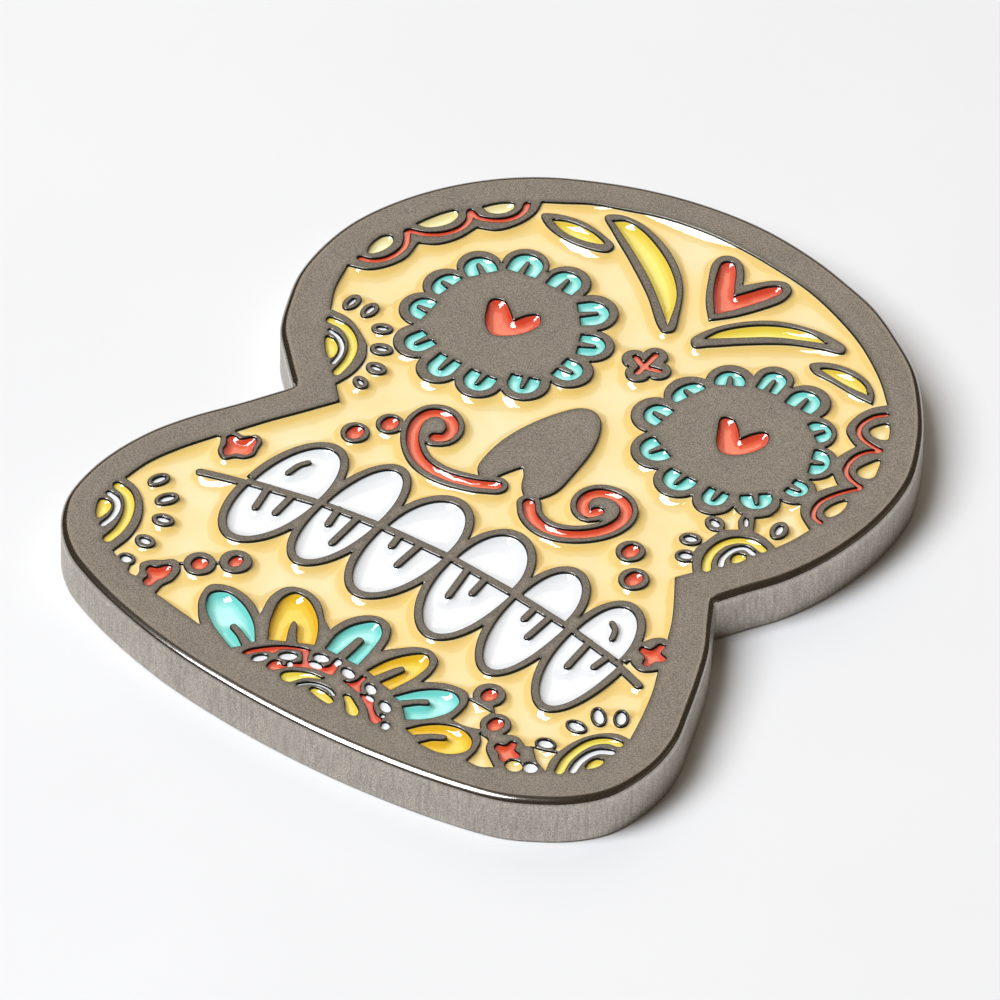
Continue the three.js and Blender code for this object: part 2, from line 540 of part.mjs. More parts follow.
// Chin flower: slotted petals and their metal rims.
const CHIN_PETALS = [
  [
    [
      [-3.2, -15.95, 1], [-4.0, -15.0], [-5.1, -14.3], [-6.1, -14.12], [-6.6, -14.6], [-6.25, -15.4],
      [-5.3, -16.15], [-3.8, -16.88, 1], [-3.52, -16.5, 1], [-4.1, -16.1], [-4.68, -15.8], [-4.6, -15.55],
      [-4.1, -15.7], [-3.35, -16.05, 1],
    ],
  ],
  [
    [
      [-2.8, -15.5, 1], [-3.5, -14.3], [-3.88, -13.0], [-3.6, -12.35], [-3.0, -12.35], [-2.0, -13.0],
      [-1.3, -13.9], [-0.98, -14.55, 1], [-1.65, -14.88, 1], [-2.05, -14.4], [-2.35, -13.95],
      [-2.62, -13.85], [-2.55, -14.25], [-2.12, -15.12, 1],
    ],
  ],
  [
    [
      [-0.45, -14.45, 1], [-0.58, -13.4], [-0.35, -12.5], [0.35, -11.75], [0.95, -12.2], [1.2, -13.2],
      [1.3, -14.45, 1], [0.67, -14.45, 1], [0.66, -13.5], [0.6, -13.0], [0.28, -13.0], [0.22, -13.5],
      [0.17, -14.45, 1],
    ],
  ],
  [
    [
      [1.85, -14.5, 1], [2.15, -13.5], [2.7, -12.6], [3.3, -12.12], [3.75, -12.5], [3.8, -13.4],
      [3.4, -14.9, 1], [2.75, -14.75, 1], [3.0, -14.1], [3.18, -13.5], [2.95, -13.35], [2.75, -13.6],
      [2.3, -14.6, 1],
    ],
  ],
  [
    [
      [3.75, -15.1, 1], [4.4, -14.15], [5.1, -13.55], [5.75, -13.35], [6.25, -13.7], [6.28, -14.5],
      [5.75, -15.4], [5.05, -15.98, 1], [4.45, -15.4, 1], [4.9, -14.9], [5.3, -14.6], [5.12, -14.38],
      [4.75, -14.6], [4.1, -15.2, 1],
    ],
  ],
  [
    [
      [5.4, -16.45, 1], [5.9, -15.75], [6.6, -15.2], [7.4, -15.0], [8.1, -15.3], [8.35, -15.9],
      [8.0, -16.5], [7.3, -16.83], [6.35, -16.85, 1], [6.7, -16.35], [7.2, -15.95], [7.1, -15.75],
      [6.6, -15.95], [5.85, -16.58, 1],
    ],
  ],
];
const CHIN_RIMS = [
  [
    [-3.3, -15.4], [-4.15, -14.35], [-5.2, -13.8], [-6.2, -13.75], [-6.95, -14.2], [-6.85, -15.1],
    [-6.35, -15.9], [-5.75, -16.5], [-4.6, -17.2], [-2.5, -17.2],
  ],
  [
    [-4.1, -14.3], [-4.37, -13.2], [-4.15, -12.3], [-3.4, -11.95], [-2.4, -12.2], [-1.6, -12.95],
    [-0.8, -13.6], [-0.9, -15.0], [-3.0, -16.4], [-3.8, -15.6],
  ],
  [
    [-1.0, -13.4], [-0.8, -12.4], [-0.3, -11.7], [0.35, -11.4], [1.0, -11.6], [1.4, -12.2], [1.6, -13.0],
    [1.8, -15], [-0.8, -15],
  ],
  [
    [1.6, -13.2], [2.2, -12.45], [2.7, -12.0], [3.3, -11.8], [3.95, -12.1], [4.2, -12.8], [4.2, -13.6],
    [4.0, -15.5], [1.6, -15],
  ],
  [
    [4.1, -13.8], [4.7, -13.3], [5.4, -13.0], [6.2, -13.0], [6.6, -13.5], [6.65, -14.3], [6.4, -15.0],
    [6.2, -16.8], [3.6, -16.2],
  ],
  [
    [6.2, -15.1], [6.9, -14.85], [7.7, -14.88], [8.35, -15.2], [8.68, -15.7], [8.65, -16.2], [8.3, -17.2],
    [5.4, -17.2],
  ],
];

// Scalloped bands at the temples.
const SCALLOP_REDS = [
  [
    [
      [-10.35, 14.2], [-10.2, 13.7], [-10.27, 13.2], [-10.58, 12.7], [-11.08, 12.35], [-11.6, 12.17],
      [-12.12, 12.3],
    ],
    [
      [-12.08, 12.2], [-11.85, 11.85], [-11.78, 11.3], [-11.93, 10.8], [-12.3, 10.27], [-12.85, 9.87],
      [-13.55, 9.62],
    ],
    [
      [-13.6, 9.5], [-13.3, 9.1], [-13.1, 8.6], [-13.12, 8.0], [-13.35, 7.4], [-13.75, 7.02],
      [-14.25, 6.85],
    ],
  ],
  [
    [
      [10.6, 12.5], [10.25, 12.1], [10.08, 11.55], [10.13, 11.05], [10.45, 10.67], [11.0, 10.5],
      [11.7, 10.45],
    ],
    [[11.68, 10.35], [11.3, 10.0], [11.08, 9.5], [11.07, 9.0], [11.25, 8.45], [11.7, 8.15], [12.38, 8.0]],
    [[12.42, 7.9], [12.02, 7.35], [11.7, 6.75], [11.52, 6.2], [11.58, 5.6], [11.85, 5.18], [12.28, 5.07]],
  ],
];

// ---- plate and enamel ----
const ENAMEL_TOP = PLATE_THICKNESS - ENAMEL_DROP;
const POCKET_FLOOR = PLATE_THICKNESS - POCKET_DEPTH;

const scroll = SCROLLS.map(([line]) => stroke(line, SCROLL_WIDTH));
const scrollRims = SCROLLS.flatMap(([line, [x, y, r]]) => {
  const width = SCROLL_WIDTH + 2 * SCROLL_LINE;
  const middle = line.length >> 1;
  return [stroke(line.slice(0, middle + 2), width), stroke(line.slice(middle), width), oval(x, y, r)];
});
const teeth = TEETH.flat();
const cells = [
  ...SIDE_CELLS.map((cell, i) => [`enamel_side_${i + 1}`, outline(cell), "cream"]),
  ...teeth.map((tooth, i) => [
    `enamel_tooth_${i % 2 ? "lower" : "upper"}_${(i >> 1) + 1}`, toothHalf(tooth), "white",
  ]),
  ["enamel_heart_forehead", outline(HEART), "red"],
  ["enamel_heart_eye_left", outline(EYE_HEARTS[0]), "red"],
  ["enamel_heart_eye_right", outline(EYE_HEARTS[1]), "red"],
  ...LEAVES.map(([, cell], i) => [`enamel_leaf_${i + 1}`, outline(cell), "yellow"]),
  ["enamel_scroll_left", scroll[0], "red"],
  ["enamel_scroll_right", scroll[1], "red"],
  ...FLOWERS.map(([cell], i) => [`enamel_flower_${i + 1}`, outline(cell), "red"]),
  ...DOTS.map(([x, y, , rx, ry], i) => [`enamel_dot_${i + 1}`, oval(x, y, rx, ry), "red"]),
  ...SUNS.map(({ gold }, i) => [`enamel_sun_${i + 1}`, stroke(gold, SUN_WIDTH), "yellow"]),
  ...CHIN_PETALS.map(([cell], i) => [`enamel_chin_${i + 1}`, outline(cell), i % 2 ? "orange" : "teal"]),
].map(([name, points, color]) => [name, [points], color]);
cells.push(["enamel_cross", CROSS.map((line) => stroke(line, CROSS_WIDTH)), "red"]);
SCALLOP_REDS.forEach((bands, i) => {
  const lines = bands.map((line) => stroke(line, SCALLOP_WIDTHS[i]));
  cells.push([`enamel_temple_${i ? "right" : "left"}`, lines, "red"]);
});

// The bite: halfway between the crowns and the roots.
const bite = TEETH.flatMap(([crown, root]) =>
  [[crown[0], (crown[3] + root[3]) / 2], [crown[1], (crown[4] + root[4]) / 2]]);

// Metal that stands up through the field, and the lines that stand in the teeth.
const islands = [
  outline(NOSE), outline(HEART_RIM), clover(...CLOVER),
  ...LEAVES.map(([rim]) => outline(rim)),
  ...EYE_RINGS.map(scallops),
  ...teeth.map((tooth) => toothHalf(tooth, TOOTH_LINE)),
  ...BITE_ENDS.map((line) => stroke(line, BITE_WIDTH)),
  stroke(bite, BITE_GAP),
  ...scrollRims,
  ...DOTS.map(([x, y, r]) => oval(x, y, r)),
  ...FLOWERS.map(([, rim]) => outline(rim)),
  ...SUNS.flatMap(({ rays }) => rays.map(([x, y, l, w, tilt]) => oval(x, y, l, w, tilt, 6))),
  ...CHIN_RIMS.map((rim) => outline(rim)),
];
const toothLines = [
  ...ROOTS.map((line) => stroke(line, ROOT_WIDTH)),
  ...GLINTS.map((line) => stroke(line, GLINT_WIDTH)),
];

// A recess, or the enamel in it: side walls pulled in by the gap.
function fill(outer, inner, gap, bottom, top) {
  const body = join(outer.map((points) => solid(slab(shrink(points, gap), bottom, top))));
  if (!inner.length) return body;
  return body.subtract(join(inner.map((points) => solid(slab(shrink(points, -gap), bottom - 1, top + 1)))));
}

const recess = (outer, inner) => fill(outer, inner, 0, POCKET_FLOOR, PLATE_THICKNESS + 1);
const enamel = (outer, inner) => fill(outer, inner, FIT, POCKET_FLOOR + SEAT, ENAMEL_TOP);
const linesIn = (name) => (/tooth/.test(name) ? toothLines : []);

const edge = outline(PLATE);
const blank = loft([
  [edge, 0],
  [edge, PLATE_THICKNESS - EDGE_ROUND],
  [shrink(edge, EDGE_ROUND * 0.3), PLATE_THICKNESS - EDGE_ROUND * 0.3],
  [shrink(edge, EDGE_ROUND), PLATE_THICKNESS],
]);
const pockets = cells.map(([name, outer]) => recess(outer, linesIn(name)));
const plate = solid(blank).subtract(recess([outline(FIELD)], islands)).subtract(join(pockets));
place("base_plate", geometryOf(plate), BLACK_NICKEL);
place("enamel_field", geometryOf(enamel([outline(FIELD)], islands)), ENAMEL.cream);
for (const [name, outer, color] of cells) {
  place(name, geometryOf(enamel(outer, linesIn(name))), ENAMEL[color]);
}

// ---- posts and butterfly clutches ----
const turned = (profile, sides = 20) =>
  new THREE.LatheGeometry(profile.map(([r, z]) => new THREE.Vector2(r, z)), sides).rotateX(Math.PI / 2);

// Post, pointing down from the plate: brazed pad, shaft, gripping neck and point.
const post = () => turned([
  [0, -POST_LENGTH], [0.12, -POST_LENGTH], [POST_RADIUS, -POST_LENGTH + 1.3],
  [POST_RADIUS, -POST_LENGTH + 1.8], [POST_NECK_RADIUS, -POST_LENGTH + 2.1],
  [POST_NECK_RADIUS, -POST_LENGTH + 2.6], [POST_RADIUS, -POST_LENGTH + 2.9],
  [POST_RADIUS, -POST_PAD_HEIGHT - 0.25], [POST_RADIUS + 0.25, -POST_PAD_HEIGHT],
  [POST_PAD_RADIUS, -POST_PAD_HEIGHT], [POST_PAD_RADIUS, -SEAT], [0, -SEAT],
], 12);

// Stamped cup: flange against the cloth, turned-down lip, dome with a hole and two side slots.
function cup() {
  const [front, lip, crown] = [-CLUTCH_GAP, -CLUTCH_GAP - LIP_DROP, -CLUTCH_GAP - DOME_HEIGHT];
  const outside = turned([
    [0, crown], [DOME_RADIUS - 0.5, crown], [DOME_RADIUS, crown + 0.5], [DOME_RADIUS, front - SHEET],
    [FLANGE_RADIUS - SHEET, front - SHEET], [FLANGE_RADIUS - SHEET, lip], [FLANGE_RADIUS, lip],
    [FLANGE_RADIUS, front - 0.25], [FLANGE_RADIUS - 0.25, front], [0, front],
  ]);
  const inside = turned([
    [0, crown + SHEET], [DOME_RADIUS - SHEET - 0.25, crown + SHEET],
    [DOME_RADIUS - SHEET, crown + SHEET + 0.25], [DOME_RADIUS - SHEET, front - SHEET],
    [DOME_RADIUS, front], [DOME_RADIUS, front + 1], [0, front + 1],
  ]);
  const hole = new THREE.CylinderGeometry(CLUTCH_HOLE_RADIUS, CLUTCH_HOLE_RADIUS, 2, 16);
  const slot = new THREE.BoxGeometry(2 * DOME_RADIUS + 1, SLOT_WIDTH, SLOT_TOP - SLOT_FOOT);
  slot.translate(0, 0, (SLOT_TOP + SLOT_FOOT) / 2);
  const cuts = join([solid(inside), solid(hole.rotateX(Math.PI / 2).translate(0, 0, crown)), solid(slot)]);
  return geometryOf(solid(outside).subtract(cuts));
}

// Right-hand wing: a bent spring strip from the jaw at the post, out of the slot, down to the thumb lobe.
function wing() {
  const sheet = slab(stroke(WING_LINE, WING_SHEET), -LOBE_RADIUS, LOBE_RADIUS).rotateX(Math.PI / 2);
  const half = WING_WIDTH / 2;
  const lobe = Array.from({ length: 9 }, (_, k) => {
    const t = (Math.PI * (k - 4)) / 8;
    return [LOBE_RADIUS * Math.sin(t), CLUTCH_FOOT + LOBE_RADIUS * (1 - Math.cos(t))];
  });
  const front = [...lobe, [half, -4.4], [half, 0], [-half, 0], [-half, -4.4]];
  const mask = slab(front, 0, 8).rotateX(Math.PI / 2).rotateZ(Math.PI / 2);
  return geometryOf(solid(sheet).intersect(solid(mask)));
}

for (const [side, x] of [["left", -POST_X], ["right", POST_X]]) {
  place(`post_${side}`, post().translate(x, POST_Y, 0), NICKEL);
  place(`clutch_cup_${side}`, cup().translate(x, POST_Y, 0), NICKEL);
  place(`clutch_wing_${side}_a`, wing().translate(x, POST_Y, 0), NICKEL);
  place(`clutch_wing_${side}_b`, wing().rotateZ(Math.PI).translate(x, POST_Y, 0), NICKEL);
}

export default pin;
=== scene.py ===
"""Soft-enamel lapel pin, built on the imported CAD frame.

The badge face is one plan drawing in millimetres. It is cut into metal and enamel cells, and each
becomes a closed mesh: rounded ridges, recess walls, and enamel with the hollow it dries to.
"""
import math

import bpy
import numpy as np
from mathutils import Matrix, Vector
from mathutils.geometry import delaunay_2d_cdt


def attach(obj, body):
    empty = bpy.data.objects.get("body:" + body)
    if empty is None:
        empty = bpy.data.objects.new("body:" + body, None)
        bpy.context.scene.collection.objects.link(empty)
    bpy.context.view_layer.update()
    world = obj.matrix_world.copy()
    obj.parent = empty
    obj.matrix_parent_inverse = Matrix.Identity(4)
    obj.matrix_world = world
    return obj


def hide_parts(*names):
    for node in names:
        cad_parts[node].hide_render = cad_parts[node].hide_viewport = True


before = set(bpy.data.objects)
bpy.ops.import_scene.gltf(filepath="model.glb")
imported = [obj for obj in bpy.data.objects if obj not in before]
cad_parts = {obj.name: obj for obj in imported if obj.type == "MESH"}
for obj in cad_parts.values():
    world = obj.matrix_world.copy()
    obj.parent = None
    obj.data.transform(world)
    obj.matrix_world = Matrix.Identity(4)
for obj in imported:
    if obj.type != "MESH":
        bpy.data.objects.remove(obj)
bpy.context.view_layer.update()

MM = 0.001

# Heights and roundings of the relief, in millimetres.
TOP = 2.5  # top of the metal lines
POCKET = 1.88  # floor of the recesses
FOOT_TOP = POCKET + 0.2  # a row of points low on the recess walls
BOND = 0.01  # gap between the recess floor and the enamel
RIDGE_ROUND = 0.05  # rounding of a metal line's edge
RIM_ROUND, RIM_DROP = 0.44, 0.3  # width and depth of the plate's rounded front edge
BACK_ROUND = 0.12
ENAMEL_LEVEL = 1.99  # enamel far from any wall
ENAMEL_CLING = 2.38  # enamel where it meets a wall
MENISCUS = 0.4  # how far the hollow reaches from a wall, in the field and the teeth
SMALL_MENISCUS = 0.24  # and in the small cells
DARK_EDGE, DARK_HALO = 0.055, 0.3  # how far the painted shade beside a wall reaches on the metal, fully and by half
GLOSSY_RIM = 0.3  # share of the rounded front edge over which the gloss sets in

# Spacing of points along the drawn lines, the plate's edge, and the lines of the first cut.
STEP, PLATE_STEP, CUT_STEP = 0.14, 0.25, 0.2

# Widths of the drawn lines.
TOOTH_LINE = 0.42
BITE_LINE, BITE_WIDTH = 0.6, 0.4
ROOT_WIDTH, GLINT_WIDTH = 0.36, 0.3
SCROLL_WIDTH, SCROLL_LINE = 0.52, 0.29
CROSS_WIDTH = 0.28
LINK_WIDTH = 0.14
CHIN_ARC_WIDTH = 0.14
SCALLOP_WIDTHS = (0.27, 0.22)
SLOT_FOOT, SLOT_TIP, SLOT_REACH = 0.17, 0.11, 0.58  # an eye petal's slot: half widths, share of the height


def paths(text):
    """Lists of points: a comma ends a point, * marks a sharp corner, / starts the next list."""
    return [[[float(n) for n in p.strip(" *\n").split()] + [1] * ("*" in p) for p in part.split(",")]
            for part in text.split("/")]


def path(text):
    return paths(text)[0]


# ---- the drawing, seen from the front: x to the right, y to the crown ----
# Outer edge of the plate.
PLATE = path("""
  -0.8 19.35, 2.05 19.08, 4.06 18.62, 6.08 18, 8.08 16.93, 10.06 15.57, 12 13.36, 13 11.8, 13.85 10,
  14.2 8.4, 14.3 6.9, 14.2 5.2, 13.8 3.1, 13.1 1.15, 12.15 -0.5, 11.47 -1.75*, 12.2 -2.95, 13.1 -4.4,
  13.85 -6, 14.65 -8, 15.3 -9.8, 15.53 -11.4, 15.4 -13, 14.95 -14.5, 14 -15.75, 12.7 -16.75, 11.2 -17.55,
  8.6 -18.2, 5.5 -18.65, 2 -18.9, -2 -18.85, -6 -18.45, -9 -17.8, -11.5 -17, -13.3 -16.15, -14.6 -14.95,
  -15.45 -13.4, -15.72 -11.6, -15.6 -9.7, -15.05 -7.6, -14.2 -5.8, -13 -3.85, -11.72 -1.6*, -13.2 -0.2,
  -14.4 1.05, -15.3 2.8, -15.95 4.6, -16.18 6.8, -16 8.8, -15.3 10.9, -14.2 12.9, -12.7 14.75, -11 16.2,
  -9 17.35, -6.5 18.4, -3.7 19.1
""")
# Edge of the big enamel field; islands of metal stand across it.
FIELD = path("""
  -9.9 14.72*, -9 15.3, -8 15.95, -6.5 16.55, -5 17.08, -3 17.45, -1 17.52, 1 17.38, 3 17.08, 5 16.45,
  7 15.55, 9 14.2, 10.25 13.05*, 9.75 12.35, 9.55 11.4, 9.7 10.65, 10.2 10.25, 10.7 10.03*, 10.55 9.5,
  10.42 8.9*, 8.6 7*, 8 3.2*, 8.6 2.4*, 9.03 1.9*, 8.95 1.2, 8.85 0.4, 9.2 -0.35, 9.63 -0.9*, 9.18 -1.62*,
  9.95 -2.75, 10.7 -3.95, 11.2 -4.95*, 11.9 -6*, 12.1 -6.95*, 12.65 -8.1, 13.25 -9.8, 13.63 -11.15*,
  12.95 -11.22, 12.35 -11.68, 11.93 -12.3, 11.7 -13, 11.6 -13.6*, 10.9 -13.7*, 9.8 -14.6*, 8.4 -13.9*,
  7.05 -12.6*, 5.6 -14.2*, 2.8 -13.6*, 0.4 -13.3*, -2.7 -13.9*, -5 -15.2*, -5.85 -16.5*, -7.2 -16.28,
  -8.62 -16.05*, -9.2 -15.3*, -9.85 -15.68*, -10.3 -15.68, -10.5 -15.3*, -11 -15*, -11.35 -15.15*,
  -11.68 -15*, -11.6 -13.8, -11.9 -12.6, -12.55 -11.65, -13.3 -11.1, -14.05 -10.9*, -13.85 -9.5, -13.3 -8,
  -12.4 -6.25*, -11.6 -6.2*, -11.95 -5.55*, -11.2 -4.2, -10.3 -2.75, -9.4 -1.25*, -10.2 -0.45*, -10 0.6,
  -10.15 1.7, -10.6 2.45*, -11.4 2.97, -12.3 3.37, -13.3 3.38*, -13.95 4.6, -14.4 6.15*, -13.5 6.48,
  -12.95 7.15, -12.62 8.1, -12.75 9.22*, -12 9.68, -11.5 10.5, -11.25 11.6*, -10.4 12.02, -9.9 12.85,
  -9.7 13.9
""")
# Small cells cut off from the field.
SIDE_CELLS = paths("""
  10.85 8*, 11.15 7.75, 11.5 7.5*, 11.2 7, 11 6.6*, 10.7 6.85, 10.3 7.05*, 10.6 7.45 /
  10.9 5.52*, 11.25 5, 12.18 4.4*, 11.98 3.5, 11.65 2.55*, 11 2.8, 10.25 2.85*, 9.8 3.62*, 10.25 4.1,
  10.2 4.7, 9.98 5.25*, 10.5 5.38 /
  8.6 3.65*, 9.2 3.45*, 9.3 3, 9.65 2.55*, 9.15 2.15*, 8.8 2.5, 8.22 2.75*, 8.48 3.15 /
  6.45 -13.3*, 7.1 -13.3, 7.78 -13.35*, 7.72 -13.9, 8 -14.55*, 7.3 -14.78, 6.65 -14.78*, 6.68 -14 /
  8.15 -14.75*, 8.65 -14.85, 8.9 -15.35, 9.9 -16.12*, 9.4 -16.45, 8.7 -16.5*, 8.68 -15.8, 8.5 -15.15 /
  10.5 -14.05*, 11 -13.95, 11.58 -13.72*, 11.62 -14.3, 11.85 -14.97*, 11.2 -14.68
""")
# A dot in the rim of the last flower: x, y, half width, half height.
PALE_DOT = (10.55, -15.53, 0.4, 0.36)
NOSE = path("""
  0 4.95, 0.6 4.68, 1.1 3.95, 1.5 2.8, 1.72 1.2, 1.78 -0.3, 1.45 -1.1, 1.1 -1.6*, 0.75 -1.35*, 0.3 -0.9,
  -0.05 -0.25, -0.35 0.12*, -0.6 -0.35, -0.9 -1.05*, -1.3 -1.7*, -1.95 -1.1, -2.15 0, -2.08 1.3, -1.75 2.6,
  -1.2 3.85, -0.6 4.72
""")
HEART_RIM = path("""
  0.55 15.6*, 0.1 16.3, -0.35 16.75, -0.9 16.88, -1.35 16.6, -1.42 16, -0.95 15, -0.2 13.75, 0.65 12.8*,
  1.4 13.65, 2.15 14.85, 2.58 15.85, 2.5 16.6, 2.05 16.9, 1.5 16.7, 1 16.15
""")
HEART = path("""
  0.62 14.75*, 0.15 15.5, -0.3 16.2, -0.72 16.55, -1.05 16.3, -0.85 15.6, -0.2 14.4, 0.65 13.3*, 1.35 14.35,
  1.95 15.5, 2.18 16.2, 1.95 16.52, 1.5 16.2, 1 15.4
""")
EYE_HEARTS = paths("""
  -6.33 7.6*, -6.85 8.05, -7.45 8.42, -7.9 8.15, -7.65 7.4, -7.1 6.62, -6.55 6.33, -5.95 6.65, -5.4 7.35,
  -5.25 8.1, -5.65 8.57, -6.05 8.2 /
  6.27 7.3*, 5.8 7.85, 5.25 8.2, 4.85 8, 5.2 7.2, 5.65 6.5, 6.15 6.15, 6.75 6.4, 7.3 7.15, 7.4 7.9, 7 8.37,
  6.6 8
""")
# Forehead leaves.
LEAF_RIMS = paths("""
  -9.45 14.05, -8.8 14.5, -7.6 14.76, -6.4 14.58, -5.6 14.28, -5.6 13.8, -6.6 13.42, -7.8 13.34, -8.9 13.6 /
  -7.1 15.65, -6.6 16.1, -5.6 16.22, -4 15.78, -2.6 14.95, -1.5 13.85, -0.65 12.4, -0.2 11.3, -0.5 10.98,
  -1 11.2, -2.5 12.5, -4.5 13.9, -6.2 14.98 /
  0.75 11.3, 1.1 12.5, 2 13.7, 3.2 14.62, 4.6 15.08, 5.8 15.17, 6.6 15, 6.72 14.62, 5.8 14.28, 4.5 13.7,
  3 12.6, 1.7 11.45, 1.15 11 /
  5.93 13.15, 6.5 13.7, 7.6 13.98, 8.6 13.82, 9.35 13.3, 9.7 12.7*, 8.8 12.68, 7.4 12.8, 6.3 12.85
""")
LEAVES = paths("""
  -8.85 14.05*, -8.2 14.38, -7.5 14.48, -6.7 14.4, -6.05 14.12, -6.7 13.8, -7.6 13.68, -8.3 13.78 /
  -6.62 15.6*, -6.1 15.97, -5.2 15.87, -3.7 15.22, -2.4 14.32, -1.4 13.2, -0.62 11.45*, -1.6 12.3,
  -3.1 13.48, -5 14.68 /
  1.2 11.72*, 1.45 12.5, 2.4 13.68, 3.6 14.5, 4.8 14.85, 5.8 14.7*, 4.9 14.3, 3.6 13.62, 2.3 12.6 /
  6.5 13.2, 7.1 13.6, 7.9 13.7, 8.7 13.48, 9.15 13.05*, 8.2 13, 7.2 13.08
""")
# Scalloped eye rings: cusp, crest, cusp, crest, ...
EYE_RINGS = paths("""
  -9 10.38, -8.05 11.95, -6.98 11.1, -6 12.12, -4.78 10.78, -3.5 11.25, -2.92 9.3, -1.58 8.7, -2.02 7.45,
  -1.33 6.15, -2.65 5.38, -2.85 3.7, -4.15 3.65, -5.2 2.42, -6.2 3, -7.1 2.12, -8.2 3.2, -9.55 3.05,
  -9.75 4.75, -11.1 5.9, -10.6 6.75, -11.15 7.9, -10.3 8.8, -10.5 10.15 /
  6.18 11.4, 7.2 12.14, 8.33 10.62, 9.45 10.3, 9.65 9.15, 10.85 8.35, 10.3 7.05, 11.1 6, 10.02 5.22,
  9.8 3.6, 8.6 3.62, 7.7 2.5, 6.72 3.15, 5.65 2.45, 4.5 3.6, 3.3 3.48, 2.72 5.28, 1.25 6.45, 2 7.5, 1.85 9,
  2.78 9.6, 3.5 11.18, 4.4 11.02, 5.25 12.25
""")
# Horseshoe petals: x and y of a leg end, the crest and the other leg end, then the width.
EYE_PETALS = path("""
  -8.38 10.2 -8.1 11.35 -7.4 10.45 0.5, -6.38 10.55 -5.95 11.45 -5.45 10.4 0.52,
  -4.6 10.02 -3.42 10.42 -3.8 9.35 0.5, -3.25 8.5 -2.25 8.5 -2.9 7.7 0.5,
  -2.88 6.82 -2.05 6.42 -2.95 5.98 0.48, -3.35 5.3 -3.4 4.12 -4.05 4.62 0.42,
  -4.82 4.08 -5.2 3.08 -5.75 3.9 0.44, -7.5 4 -7.1 2.82 -6.7 3.9 0.44, -9 4.65 -9.02 3.6 -8.38 4.35 0.5,
  -9.85 6.32 -10.38 5.85 -9.6 5.45 0.5, -9.85 8.25 -10.42 7.8 -9.95 7.2 0.48,
  -8.95 9.68 -9.92 9.78 -9.5 8.9 0.5, 5.05 10.55 5.25 11.65 5.75 10.62 0.4,
  6.72 10.6 7.15 11.45 7.65 10.4 0.5, 8.35 9.88 9.02 10.08 9.02 9.25 0.42, 9.5 8.58 10.2 8.28 9.85 7.5 0.46,
  9.92 6.5 10.48 6.22 9.72 5.92 0.4, 9.3 5.12 9.4 4.3 8.55 4.52 0.46, 7.85 4.15 7.62 3.26 7.18 3.98 0.38,
  6.2 3.85 5.65 3.12 5.15 4.1 0.42, 3.42 5.25 3.5 4.15 4.25 4.52 0.44, 2.75 6.88 2.05 6.5 2.9 6 0.44,
  3.05 8.95 2.42 8.5 2.72 7.75 0.42, 3.5 9.65 3.52 10.48 4.25 10.15 0.44
""")
# Tooth crowns and roots in turn: left, right, x and y of the apex, height at the left and the right.
TEETH = path("""
  -9.4 -6.4 -7.85 -4.03 -7.62 -6.93, -9.42 -6.35 -7.95 -10.9 -8.05 -7.35, -5.95 -3.42 -4.7 -3.43 -6.85 -6.5,
  -5.98 -3.38 -4.75 -10.42 -7.2 -6.92, -2.9 0.2 -1.35 -3.58 -6.45 -6.3, -2.97 0.27 -1.42 -10.52 -6.85 -6.72,
  0.75 3.85 2.1 -3.76 -6.3 -6.45, 0.7 4.05 2.65 -10.78 -6.68 -6.88, 4.45 6.95 5.55 -4.13 -6.5 -6.77,
  4.38 7.2 6.05 -11.15 -6.9 -7.15, 7.7 10.28 8.8 -4.48 -6.88 -7.35, 7.65 10.5 9.35 -11.52 -7.22 -7.75
""")
# Metal lines in and beside the teeth.
ROOTS = paths("""
  -8.62 -7.6, -8.32 -9 /
  -7.45 -7.4, -7.4 -8.75 /
  -5.3 -6.9, -5.1 -7.95 /
  -4.28 -6.8, -4.25 -8.82 /
  -2.12 -6.7, -2.02 -7.42 /
  -1.05 -6.55, -1.1 -8.25 /
  1.55 -6.55, 1.88 -8.5 /
  2.55 -6.65, 2.62 -7.75 /
  5.4 -6.85, 5.42 -7.7 /
  6.28 -6.95, 6.22 -8.55 /
  8.6 -7.2, 8.72 -9.02 /
  9.8 -7.5, 9.68 -8.35
""")
GLINTS = paths("""
  -8.15 -5.28, -8.38 -5.7, -8.48 -6.35 /
  8.68 -5.62, 9.05 -5.9, 9.27 -6.45
""")
BITE_ENDS = paths("""
  -9.6 -8, -10.6 -8.28, -11.65 -8.62 /
  10.4 -7.65, 11.2 -7.9, 11.95 -8.15
""")
# Moustache scrolls, and the metal under their curls: x, y, radius.
SCROLLS = paths("""
  -0.62 -1.52, -1.4 -1.95, -2.4 -2.28, -3.3 -2.38, -4.25 -2.2, -5.05 -1.65, -5.6 -0.95, -5.86 -0.15,
  -5.72 0.5, -5.2 0.82, -4.62 0.62, -4.27 0.1, -4.3 -0.38, -4.62 -0.62 /
  1.22 -1.6, 1.7 -2.12, 2.4 -2.42, 3.2 -2.4, 4 -2.02, 4.65 -1.42, 5.05 -0.75, 5.17 -0.05, 4.98 0.55,
  4.55 0.92, 4 1.02, 3.42 0.85, 3.08 0.4, 3.1 -0.1, 3.4 -0.48, 3.78 -0.52, 3.98 -0.2
""")
CURLS = path("-5 -0.05 0.75, 4.15 0.1 0.8")
# Clover between the eyes: x, y, lobe radius, waist radius; and the cross in it.
CLOVER = (0.13, 8.8, 1.24, 0.8)
CROSS = paths("""
  0.08 9.58, 0.1 8.12 /
  -0.55 8.92, 0.1 8.66, 0.82 8.8
""")
